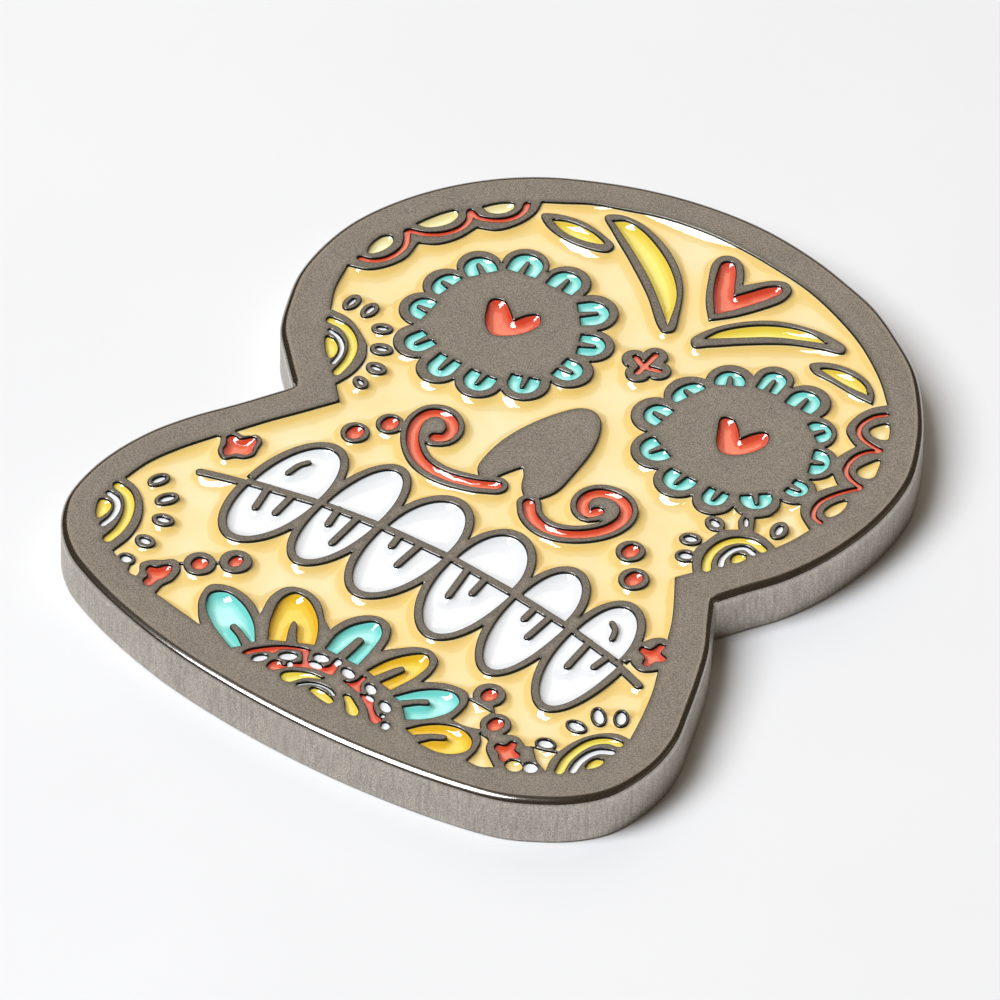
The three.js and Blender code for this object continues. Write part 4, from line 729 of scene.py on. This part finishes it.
# Each connected patch of triangles between walls takes the region found in the first cut.
wall_edges = {(min(e), max(e)) for e, source in zip(out[1], out[4]) if source}
beside = {}
for t, tri in enumerate(TRIS.tolist()):
    for a, b in zip(tri, tri[1:] + tri[:1]):
        e = (min(a, b), max(a, b))
        if e not in wall_edges:
            beside.setdefault(e, []).append(t)
patch = np.arange(len(TRIS))


def root(i):
    """The triangle that stands for the whole patch of triangle i."""
    while patch[i] != i:
        patch[i] = patch[patch[i]]
        i = patch[i]
    return i


for pair in beside.values():
    if len(pair) == 2:
        a, b = root(pair[0]), root(pair[1])
        if a != b:
            patch[b] = a
patch = np.array([root(i) for i in range(len(TRIS))])


def region_at(places):
    """Region of the first cut at each place."""
    def cross(u, v):
        return u[:, 0] * v[:, 1] - u[:, 1] * v[:, 0]

    corner = points[tris]
    low, high = corner.min(1), corner.max(1)
    out = []
    for q in places:
        near = np.flatnonzero(np.all((low <= q) & (high >= q), axis=1))
        a, b, c = corner[near, 0], corner[near, 1], corner[near, 2]
        s = np.stack([cross(b - a, q - a), cross(c - b, q - b), cross(a - c, q - c)])
        hit = near[np.all(s >= -1e-9, axis=0) | np.all(s <= 1e-9, axis=0)]
        out.append(int(region[hit[0]]) if len(hit) else OUTSIDE)
    return out


u, v = XY[TRIS[:, 1]] - XY[TRIS[:, 0]], XY[TRIS[:, 2]] - XY[TRIS[:, 0]]
biggest = {}
for t in np.argsort(np.abs(u[:, 0] * v[:, 1] - u[:, 1] * v[:, 0])):
    biggest[patch[t]] = t
found = dict(zip(biggest, region_at(XY[TRIS[list(biggest.values())]].mean(1))))
REGION = np.array([found[p] for p in patch])


# ---- heights ----
SWEEPS = 700  # relaxation steps


def hollow_heights(xy, triangles, reach, fixed):
    """Enamel surface: pulled up at the walls, settling to its level within the meniscus."""
    i, j, k = triangles.T
    pairs, weights = [], []
    pull = np.full(len(xy), 1e-12)
    for a, b, c in ((i, j, k), (j, k, i), (k, i, j)):
        u, v = xy[a] - xy[c], xy[b] - xy[c]
        double = np.abs(u[:, 0] * v[:, 1] - u[:, 1] * v[:, 0])
        weight = np.clip((u * v).sum(1) / np.maximum(double, 1e-9), 0.02, 50) / 2
        pairs.append((a, b))
        weights.append(weight)
        np.add.at(pull, c, double / 6 / reach ** 2)
    a = np.concatenate([p for pair in pairs for p in pair])
    b = np.concatenate([p for pair in pairs for p in pair[::-1]])
    w = np.concatenate([x for x in weights for _ in range(2)])
    total = np.bincount(a, w, len(xy)) + pull
    z = np.full(len(xy), ENAMEL_LEVEL)
    z[fixed] = ENAMEL_CLING
    for _ in range(SWEEPS):
        z = (np.bincount(a, w * z[b], len(xy)) + pull * ENAMEL_LEVEL) / total
        z[fixed] = ENAMEL_CLING
    return z


def rounding(distance, radius):
    """How far a rounded edge has dropped at a distance from the wall."""
    d = np.clip(distance, 0, radius)
    return radius - np.sqrt(np.maximum(radius ** 2 - (radius - d) ** 2, 0))


inner = [w for w in walls if w[3] != OUTSIDE]
to_wall = distance_to_walls(XY, inner)
to_rim = distance_to_walls(XY, [w for w in walls if w[3] == OUTSIDE])
metal_z = TOP - rounding(to_wall, RIDGE_ROUND) - rounding(to_rim, RIM_ROUND) * RIM_DROP / RIM_ROUND
in_enamel = REGION >= 0
wide = [FIELD_CELL] + [i + 1 for i in range(first_tooth, len(cells))]
reach = np.where(np.isin(REGION[in_enamel], wide), MENISCUS, SMALL_MENISCUS)
enamel_z = hollow_heights(XY, TRIS[in_enamel], reach, to_wall < ON_WALL)


# ---- meshes ----
def add(name, data):
    """New object in the scene."""
    thing = bpy.data.objects.new(name, data)
    bpy.context.collection.objects.link(thing)
    return thing


def mesh_piece(name, verts, faces, body, looks, skin=None, normals=None, **attributes):
    """Closed mesh given in millimetres, riding on a body, with one number per vertex for each attribute."""
    mesh = bpy.data.meshes.new(name)
    mesh.from_pydata((np.asarray(verts) * MM).tolist(), [], [list(map(int, f)) for f in faces])
    for key, values in attributes.items():
        store = mesh.attributes.new(key, "FLOAT", "POINT").data
        store.foreach_set("value", np.asarray(values, dtype=np.float32))
    for look in looks:
        mesh.materials.append(MATERIALS[look])
    if skin is not None:
        mesh.polygons.foreach_set("material_index", np.asarray(skin, dtype=np.int32))
    mesh.shade_smooth()
    if normals is not None:
        mesh.normals_split_custom_set_from_vertices(normals.tolist())
    piece = add(name, mesh)
    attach(piece, body)
    return piece


def unit_rows(v):
    return v / np.linalg.norm(v, axis=1)[:, None]


def shrink(loop, distance):
    """Moves a closed counter-clockwise loop inwards."""
    p = np.asarray(loop)
    before, after = p - np.roll(p, 1, 0), np.roll(p, -1, 0) - p
    n1 = unit_rows(np.stack([-before[:, 1], before[:, 0]], 1))
    n2 = unit_rows(np.stack([-after[:, 1], after[:, 0]], 1))
    return p + (n1 + n2) * distance / np.maximum(0.5, 1 + (n1 * n2).sum(1))[:, None]


def plate_mesh():
    """The die-struck plate: ridged face, recesses, rounded rim, side wall and flat back."""
    bevel = np.clip((RIM_ROUND - to_rim) / (GLOSSY_RIM * RIM_ROUND), 0, 1)
    # painted shade: the metal turns near black right at each recess wall, and half as dark a little further
    # out
    painted_wall_shade = np.maximum(np.clip(1 - to_wall / DARK_EDGE, 0, 1), 0.5 * np.clip(1 - to_wall / DARK_HALO, 0, 1))
    verts = [(*q, z) for q, z in zip(XY, metal_z)]
    edge, polish = painted_wall_shade.tolist(), bevel.tolist()
    faces = TRIS[REGION == METAL].tolist()
    # recess walls and floors, painted near black as shade
    foot = {}
    for a, b, left, right in inner:
        if METAL not in (left, right):
            continue
        if left != METAL:
            a, b = b, a
        for v in (a, b):
            if v not in foot:
                foot[v] = len(verts)
                verts += [(*points[v], z) for z in (TOP - RIDGE_ROUND, FOOT_TOP, POCKET)]
                edge += [1.0] * 3
        for k in range(2):
            faces.append((foot[b] + k, foot[a] + k, foot[a] + k + 1, foot[b] + k + 1))
    floor = len(verts)
    verts += [(*q, POCKET) for q in points]
    edge += [1.0] * len(points)
    faces += (tris[region >= 0] + floor).tolist()
    face_count = len(faces)
    # side wall and back
    loop = np.asarray(ccw(plate_edge))
    n, wall_top = len(loop), TOP - RIM_DROP
    levels = [(0, wall_top - (wall_top - BACK_ROUND) * k / 6) for k in range(7)]
    levels += [(BACK_ROUND * (1 - math.cos(t)), BACK_ROUND * (1 - math.sin(t)))
               for t in map(math.radians, (30, 60, 90))]
    start = len(verts)
    for inset, z in levels:
        verts += [(*q, z) for q in (shrink(loop, inset) if inset else loop)]
        edge += [0.0] * n
    for k in range(len(levels) - 1):
        up = start + k * n
        faces += [(up + i, up + n + i, up + n + (i + 1) % n, up + (i + 1) % n) for i in range(n)]
    last = start + (len(levels) - 1) * n
    cut = delaunay_2d_cdt([Vector(q) for q in shrink(loop, BACK_ROUND)], [], [list(range(n))], 1, 1e-6)
    faces += [tuple(last + cut[3][v][0] for v in reversed(f)) for f in cut[2]]
    skin = [0] * face_count + [1] * (len(faces) - face_count)
    # merge the vertices that share a place
    polish += [0.0] * (len(verts) - len(polish))
    verts = np.asarray(verts)
    _, first, back = np.unique(np.round(verts, 4), axis=0, return_index=True, return_inverse=True)
    back = back.reshape(-1)
    kept = [(tuple(back[list(f)]), s) for f, s in zip(faces, skin)]
    kept = [(f, s) for f, s in kept if len(set(f)) == len(f)]
    marks = {"edge": np.asarray(edge)[first], "polish": np.asarray(polish)[first]}
    return verts[first], [f for f, _ in kept], [s for _, s in kept], marks


def enamel_mesh(wanted):
    """Closed enamel body: hollowed top, walls, flat bottom just over the recess floor."""
    chosen = TRIS[np.isin(REGION, wanted)]
    used = np.unique(chosen)
    index = np.full(len(XY), -1)
    index[used] = np.arange(len(used))
    top, n = index[chosen], len(used)
    verts = np.concatenate([np.column_stack([XY[used], enamel_z[used]]),
                            np.column_stack([XY[used], np.full(n, POCKET + BOND)])])
    sides = {(a, b) for t in top.tolist() for a, b in zip(t, t[1:] + t[:1])}
    faces = top.tolist() + (top[:, ::-1] + n).tolist()
    faces += [(b, a, a + n, b + n) for a, b in sorted(sides) if (b, a) not in sides]
    deepest = verts[:n, 2].min()
    cling = (verts[:, 2] - deepest) / (ENAMEL_CLING - deepest)
    cling[n:] = 1
    # normals of the top alone, evened out between neighbours so that the gloss runs smoothly
    a, b, c = (verts[top[:, k]] for k in range(3))
    slope = np.zeros((n, 3))
    for k in range(3):
        np.add.at(slope, top[:, k], np.cross(b - a, c - a))
    i, j = np.array(sorted(sides)).T
    for _ in range(3):
        slope = unit_rows(slope)
        near = slope.copy()
        np.add.at(near, i, slope[j])
        slope = near
    normals = np.concatenate([unit_rows(slope), np.tile([0.0, 0.0, -1.0], (n, 1))])
    return verts, faces, normals, cling


# ---- materials ----
class Look:
    """A new material, with helpers that add nodes to it and join them."""

    def __init__(self, name):
        self.material = bpy.data.materials.new(name)
        self.material.use_nodes = True
        self.nodes, self.link = self.material.node_tree.nodes, self.material.node_tree.links.new
        self.shader = self.nodes["Principled BSDF"].inputs

    def node(self, kind, **settings):
        """A new node. A setting that starts with _ is the value of one of its inputs."""
        n = self.nodes.new("ShaderNode" + kind)
        for key, value in settings.items():
            if key.startswith("_"):
                n.inputs[key[1:].replace("_", " ")].default_value = value
            else:
                setattr(n, key, value)
        return n

    def number(self, attribute):
        return self.node("Attribute", attribute_name=attribute).outputs["Fac"]

    def mix(self, factor, a, b):
        """Colour between two, each a constant or a node's output."""
        m = self.node("Mix", data_type="RGBA")
        self.link(factor, m.inputs[0])
        for socket, value in ((m.inputs[6], a), (m.inputs[7], b)):
            if isinstance(value, tuple):
                socket.default_value = (*value, 1)
            else:
                self.link(value, socket)
        return m.outputs[2]

    def spread(self, value, low, high, new_low, new_high):
        m = self.node("MapRange", _From_Min=low, _From_Max=high, _To_Min=new_low, _To_Max=new_high)
        self.link(value, m.inputs["Value"])
        return m.outputs["Result"]

    def noise(self, scale, detail, stretch=(1, 1, 1)):
        mapping = self.node("Mapping", _Scale=stretch)
        self.link(self.node("TexCoord").outputs["Object"], mapping.inputs["Vector"])
        n = self.node("TexNoise", _Scale=scale, _Detail=detail)
        self.link(mapping.outputs["Vector"], n.inputs["Vector"])
        return n.outputs["Fac"]

    def bump(self, height, distance):
        b = self.node("Bump", _Strength=0.5, _Distance=distance)
        self.link(height, b.inputs["Height"])
        self.link(b.outputs["Normal"], self.shader["Normal"])
        return b.outputs["Normal"]


def black_nickel(name, tone, roughness, streaks=False):
    """Satin black nickel: speckled and cloudy, glossy on the rounded rim, with painted shade that turns it
    near black at the recess walls.
    """
    def tint(factor):
        return tuple(c * factor for c in tone)

    look = Look(name)
    cloud, grain = look.noise(420, 4), look.noise(18500, 2)
    lines = look.noise(7000, 4, (1, 1, 0.12)) if streaks else look.noise(5200, 4)
    base = look.mix(look.spread(cloud, 0.35, 0.65, 0, 1), tint(0.95), tint(1.05))
    base = look.mix(look.spread(grain, 0.5, 0.72, 0, 0.8), base, tint(0.36))
    base = look.mix(look.spread(grain, 0.28, 0.5, 0.8, 0), base, tint(1.55))
    if streaks:
        base = look.mix(look.spread(lines, 0.42, 0.72, 0, 0.6), base, tint(0.55))
    edge = look.number("edge")
    # painted shade: the edge mark turns the metal near black at and beside the recess walls, and also makes
    # it glossier there
    look.link(look.mix(edge, base, (0.024, 0.03, 0.03)), look.shader["Base Color"])
    look.shader["Metallic"].default_value = 1.0
    rough = look.spread(grain, 0.3, 0.7, roughness - 0.05, roughness + 0.05)
    for factor, value in ((edge, 0.2), (look.number("polish"), 0.17)):
        m = look.node("Mix")
        look.link(factor, m.inputs[0])
        look.link(rough, m.inputs[2])
        m.inputs[3].default_value = value
        rough = m.outputs[0]
    look.link(rough, look.shader["Roughness"])
    look.bump(lines, 0.000006 if streaks else 0.000003)
    return look.material


def enamel(name, colour, deep, pale):
    """Glossy soft enamel: a deeper colour where it climbs towards a wall, partly the thicker enamel there and
    partly painted shade, and a pale thread at the wall that is a painted highlight.
    """
    look = Look(name)
    cling = look.number("cling")
    base = look.mix(look.spread(look.noise(330, 3), 0.35, 0.7, 0, 0.4), colour, deep)
    # deep colour where the enamel climbs towards a wall: partly the thicker enamel there, partly painted
    # shade
    base = look.mix(look.spread(cling, 0.04, 0.55, 0, 0.75), base, deep)
    # painted highlight: a pale thread where the enamel meets the wall
    base = look.mix(look.spread(cling, 0.9, 1.0, 0, 0.75), base, pale)
    look.link(base, look.shader["Base Color"])
    for socket, value in (("IOR", 1.55), ("Coat Weight", 1.0), ("Coat IOR", 1.85), ("Coat Roughness", 0.04)):
        look.shader[socket].default_value = value
    look.link(look.spread(look.noise(2500, 2), 0.3, 0.7, 0.1, 0.16), look.shader["Roughness"])
    # The gloss follows the hollow; the colour under it is lit as if it lay flatter.
    skin = look.bump(look.noise(700, 2), 0.000006)
    look.link(skin, look.shader["Coat Normal"])
    up = look.node("VectorTransform", vector_type="NORMAL", convert_from="OBJECT", convert_to="WORLD",
                   _Vector=(0, 0, 1))
    level = look.node("Mix", data_type="VECTOR")
    level.inputs[0].default_value = 0.6
    look.link(skin, level.inputs[4])
    look.link(up.outputs[0], level.inputs[5])
    unit = look.node("VectorMath", operation="NORMALIZE")
    look.link(level.outputs[1], unit.inputs[0])
    look.link(unit.outputs[0], look.shader["Normal"])
    return look.material


def nickel(name):
    """Bright nickel plate with rolling lines and small scuffs."""
    look = Look(name)
    cloud, lines = look.noise(500, 3), look.noise(3000, 3, (1, 0.08, 1))
    base = look.mix(look.spread(cloud, 0.3, 0.7, 0, 1), (0.46, 0.44, 0.41), (0.62, 0.6, 0.57))
    look.link(base, look.shader["Base Color"])
    look.shader["Metallic"].default_value = 1.0
    look.link(look.spread(lines, 0.3, 0.7, 0.22, 0.36), look.shader["Roughness"])
    look.bump(lines, 0.00001)
    return look.material


def paper():
    """Matt white paper."""
    look = Look("paper")
    tone = look.mix(look.noise(60, 4), (0.84, 0.84, 0.845), (0.88, 0.88, 0.885))
    look.link(tone, look.shader["Base Color"])
    look.shader["Roughness"].default_value = 0.75
    look.shader["Specular IOR Level"].default_value = 0.2
    return look.material


ENAMELS = {  # colour, deep colour (partly painted shade), pale thread (painted highlight)
    "cream": ((0.95, 0.81, 0.44), (0.98, 0.64, 0.14), (0.97, 0.85, 0.5)),
    "pale": ((0.98, 0.95, 0.58), (0.95, 0.78, 0.3), (0.97, 0.95, 0.7)),
    "white": ((0.95, 0.96, 0.97), (0.92, 0.94, 0.96), (0.95, 0.96, 0.96)),
    "red": ((0.98, 0.17, 0.06), (0.72, 0.04, 0.018), (0.85, 0.15, 0.1)),
    "teal": ((0.47, 0.98, 0.93), (0.1, 0.7, 0.61), (0.4, 0.9, 0.82)),
    "yellow": ((0.98, 0.87, 0.15), (0.94, 0.65, 0.04), (0.9, 0.8, 0.35)),
    "orange": ((0.97, 0.76, 0.05), (0.92, 0.47, 0.008), (0.95, 0.7, 0.2)),
}
MATERIALS = {
    "metal_black": black_nickel("black_nickel_face", (0.355, 0.325, 0.295), 0.46),
    # the side wall's brighter tone of the same black nickel is painted light, standing in for the pale floor
    # it reflects; its vertical streaks are real brushing
    "metal_side": black_nickel("black_nickel_side", (0.48, 0.44, 0.385), 0.44, True),
    "metal_nickel": nickel("bright_nickel"),
    **{f"enamel_{name}": enamel(f"enamel_{name}", *colours) for name, colours in ENAMELS.items()},
}

# ---- the badge ----
verts, faces, skin, marks = plate_mesh()
plate = mesh_piece("badge_plate", verts, faces, "pin", ["metal_black", "metal_side"], skin, **marks)
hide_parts("base_plate")
verts, faces, normals, cling = enamel_mesh([FIELD_CELL])
field = mesh_piece("fill_field", verts, faces, "pin", ["enamel_cream"], normals=normals, cling=cling)
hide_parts("enamel_field")
for name, node in pieces.items():
    own = [i + 1 for i, (piece, _, _) in enumerate(cells) if piece == name]
    verts, faces, normals, cling = enamel_mesh(own)
    look = "enamel_" + cells[own[0] - 1][1]
    piece = mesh_piece(name, verts, faces, "pin", [look], normals=normals, cling=cling)
    if node:
        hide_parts(node)


# ---- posts and clutches ----
def lathe(profile, sides=64):
    """Closed turned body from radius, height pairs that start and end on the axis."""
    rings, verts, faces = [], [], []
    for r, z in profile:
        if r == 0:
            rings.append([len(verts)])
            verts.append((0, 0, z))
        else:
            rings.append(list(range(len(verts), len(verts) + sides)))
            turns = [2 * math.pi * k / sides for k in range(sides)]
            verts += [(r * math.cos(t), r * math.sin(t), z) for t in turns]
    for low, high in zip(rings, rings[1:]):
        for k in range(sides):
            j = (k + 1) % sides
            if len(low) == 1:
                faces.append((low[0], high[j], high[k]))
            elif len(high) == 1:
                faces.append((low[k], low[j], high[0]))
            else:
                faces.append((low[k], low[j], high[j], high[k]))
    return verts, faces


def rounded(profile, radius, steps=4):
    """Rounds the corners of an open profile with short arcs."""
    out = [profile[0]]
    for a, b, c in zip(profile, profile[1:], profile[2:]):
        a, b, c = (np.array(q, dtype=float) for q in (a, b, c))
        reach = min(radius, 0.45 * np.linalg.norm(a - b), 0.45 * np.linalg.norm(c - b))
        p = b + (a - b) / np.linalg.norm(a - b) * reach
        q = b + (c - b) / np.linalg.norm(c - b) * reach
        for k in range(steps + 1):
            t = k / steps
            out.append(tuple((1 - t) ** 2 * p + 2 * t * (1 - t) * b + t * t * q))
    return out + [profile[-1]]


def solid(verts, faces):
    """Scratch object for a boolean cut."""
    mesh = bpy.data.meshes.new("tool")
    mesh.from_pydata([tuple(v) for v in verts], [], faces)
    return add("tool", mesh)


def block(low, high):
    """Box between two corners."""
    corners = [(x, y, z) for x in (low[0], high[0]) for y in (low[1], high[1]) for z in (low[2], high[2])]
    return corners, [(0, 1, 3, 2), (4, 6, 7, 5), (0, 4, 5, 1), (2, 3, 7, 6), (0, 2, 6, 4), (1, 5, 7, 3)]


def carve(body, *cutters):
    """Cuts closed solids out of a closed solid."""
    target = solid(*body)
    for cutter in cutters:
        tool = solid(*cutter)
        cut = target.modifiers.new("cut", "BOOLEAN")
        cut.operation, cut.solver, cut.object = "DIFFERENCE", "EXACT", tool
    result = target.evaluated_get(bpy.context.evaluated_depsgraph_get()).to_mesh()
    verts = [tuple(v.co) for v in result.vertices]
    faces = [tuple(p.vertices) for p in result.polygons]
    for tool in [m.object for m in target.modifiers] + [target]:
        bpy.data.objects.remove(tool)
    return verts, faces


POST_AT = (7.0, 0.5)
POST_PROFILE = [(0, -8), (0.12, -7.98), (0.58, -6.7), (0.58, -6.2), (0.42, -5.9), (0.42, -5.4), (0.58, -5.1),
                (0.58, -0.7), (0.83, -0.45), (1.3, -0.45), (1.3, -0.02), (0, -0.02)]
CUP_OUTSIDE = [(0, -3.7), (2.2, -3.7), (2.7, -3.2), (2.7, -1.35), (5.15, -1.35), (5.15, -1.75), (5.5, -1.75),
               (5.5, -1.25), (5.25, -1.0), (0, -1.0)]
CUP_INSIDE = [(0, -3.35), (2.1, -3.35), (2.35, -3.1), (2.35, -1.35), (2.75, -0.9), (2.75, 0), (0, 0)]
CUP_MOUTH = [(0, -4.5), (0.85, -4.5), (0.85, -2.5), (0, -2.5)]
CUP_SLOT = (-3.2, -1.3, -3.25), (3.2, 1.3, -2.2)
WING_LINE = [(0.79, -2.1), (1.5, -2.2), (2.5, -2.72), (3.4, -3.5), (4.2, -4.7), (4.5, -6.2), (4.25, -7.6),
             (3.95, -8.36)]
NECK_HALF, LOBE_HALF = 1.05, 2.5  # half widths of the wing's strip and of its thumb lobe
FLARE_FROM, FLARE_LENGTH = -3.6, 1.2  # where the strip starts to widen, and over what height
STRIP_HALF, TIP_HALF = 0.14, 0.06  # half thickness of the strip, and at its two ends
AROUND = 16  # points round the strip


def wing_mesh():
    """Spring strip from the jaw at the post, out of the slot, to the round thumb lobe."""
    line = spline(WING_LINE, 0.12)
    foot = min(z for _, z in line)
    verts, faces = [], []
    for i, (x, z) in enumerate(line):
        a, b = line[max(i - 1, 0)], line[min(i + 1, len(line) - 1)]
        tx, tz = b[0] - a[0], b[1] - a[1]
        n = math.hypot(tx, tz)
        nx, nz = -tz / n, tx / n
        grow = min(max((FLARE_FROM - z) / FLARE_LENGTH, 0), 1)
        half = NECK_HALF + (LOBE_HALF - NECK_HALF) * grow * grow * (3 - 2 * grow)
        if z < foot + LOBE_HALF:
            half = min(half, math.sqrt(max(LOBE_HALF ** 2 - (foot + LOBE_HALF - z) ** 2, 0.05)))
        thick = STRIP_HALF if 0 < i < len(line) - 1 else TIP_HALF
        for k in range(AROUND):
            t = 2 * math.pi * k / AROUND
            c, s = math.cos(t), math.sin(t)
            across = half * math.copysign(abs(c) ** 0.35, c)
            out = thick * math.copysign(abs(s) ** 0.5, s)
            verts.append((x + nx * out, across, z + nz * out))
    for i in range(0, len(verts) - AROUND, AROUND):
        for k in range(AROUND):
            j = (k + 1) % AROUND
            faces.append((i + k, i + AROUND + k, i + AROUND + j, i + j))
    faces += [tuple(range(AROUND)), tuple(range(len(verts) - 1, len(verts) - AROUND - 1, -1))]
    return verts, faces


cup = carve(lathe(rounded(CUP_OUTSIDE, 0.12)), lathe(rounded(CUP_INSIDE, 0.1)), lathe(CUP_MOUTH),
            block(*CUP_SLOT))
wing = wing_mesh()
for side, x in (("left", -POST_AT[0]), ("right", POST_AT[0])):
    def at(part, turn=1):
        """The part moved to this post, turned round it if turn is -1."""
        return [(x + turn * vx, POST_AT[1] + turn * vy, vz) for vx, vy, vz in part[0]], part[1]

    post = mesh_piece(f"pin_post_{side}", *at(lathe(rounded(POST_PROFILE, 0.05))), "pin", ["metal_nickel"])
    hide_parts(f"post_{side}")
    shell = mesh_piece(f"clutch_shell_{side}", *at(cup), f"clutch_{side}", ["metal_nickel"])
    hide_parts(f"clutch_cup_{side}")
    for which, turn in (("a", 1), ("b", -1)):
        leaf = mesh_piece(f"clutch_spring_{side}_{which}", *at(wing, turn), f"wing_{side}_{which}",
                          ["metal_nickel"])
        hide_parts(f"clutch_wing_{side}_{which}")


# ---- stage: pale paper that the pin is pressed into, so that the plate lies flush on it ----
PAPER_HALF = 1.5
sheet = bpy.data.meshes.new("paper")
sheet.from_pydata([(x * PAPER_HALF, y * PAPER_HALF, 0) for x, y in ((-1, -1), (1, -1), (1, 1), (-1, 1))], [],
                  [(0, 1, 2, 3)])
sheet.materials.append(paper())
floor = add("paper", sheet)
floor.location.z = -0.00001


# ---- camera and light ----
CAMERA_AT = Vector((0.42125, -0.58990614, 0.68026349))
camera = add("camera", bpy.data.cameras.new("camera"))
camera.matrix_world = Matrix.Translation(CAMERA_AT) @ Matrix((
    (0.80799863, -0.40809554, 0.42496617),
    (0.58911934, 0.54887896, -0.59301795),
    (0.00875299, 0.72951348, 0.68391042))).to_4x4()
camera.data.lens = 807.87
camera.data.sensor_width = 36
camera.data.clip_start = 0.01
bpy.context.scene.camera = camera


def softbox(name, direction, distance, width, height, power, colour):
    """Area light turned to the pin from a direction."""
    light = bpy.data.lights.new(name, "AREA")
    light.shape, light.size, light.size_y = "RECTANGLE", width, height
    light.energy, light.color = power, colour
    lamp = add(name, light)
    lamp.location = Vector(direction).normalized() * distance
    lamp.rotation_euler = (-lamp.location).to_track_quat("-Z", "Y").to_euler()


softbox("key", (-0.31, -0.46, 0.85), 0.9, 0.36, 0.66, 9.5, (0.968, 1.0, 1.046))
softbox("card", (-0.43, 0.6, 0.68), 1.1, 0.9, 0.8, 2.1, (1.0, 0.93, 0.82))
softbox("back_fill", (0.72, 0.5, 0.4), 1.0, 0.8, 0.35, 0.1, (1.0, 0.9, 0.75))

world = bpy.data.worlds.new("studio")
bpy.context.scene.world = world
world.use_nodes = True
sky = world.node_tree.nodes["Background"].inputs
sky["Color"].default_value = (1.0, 0.8, 0.55, 1)
sky["Strength"].default_value = 0.1
bpy.context.scene.view_settings.view_transform = "Standard"
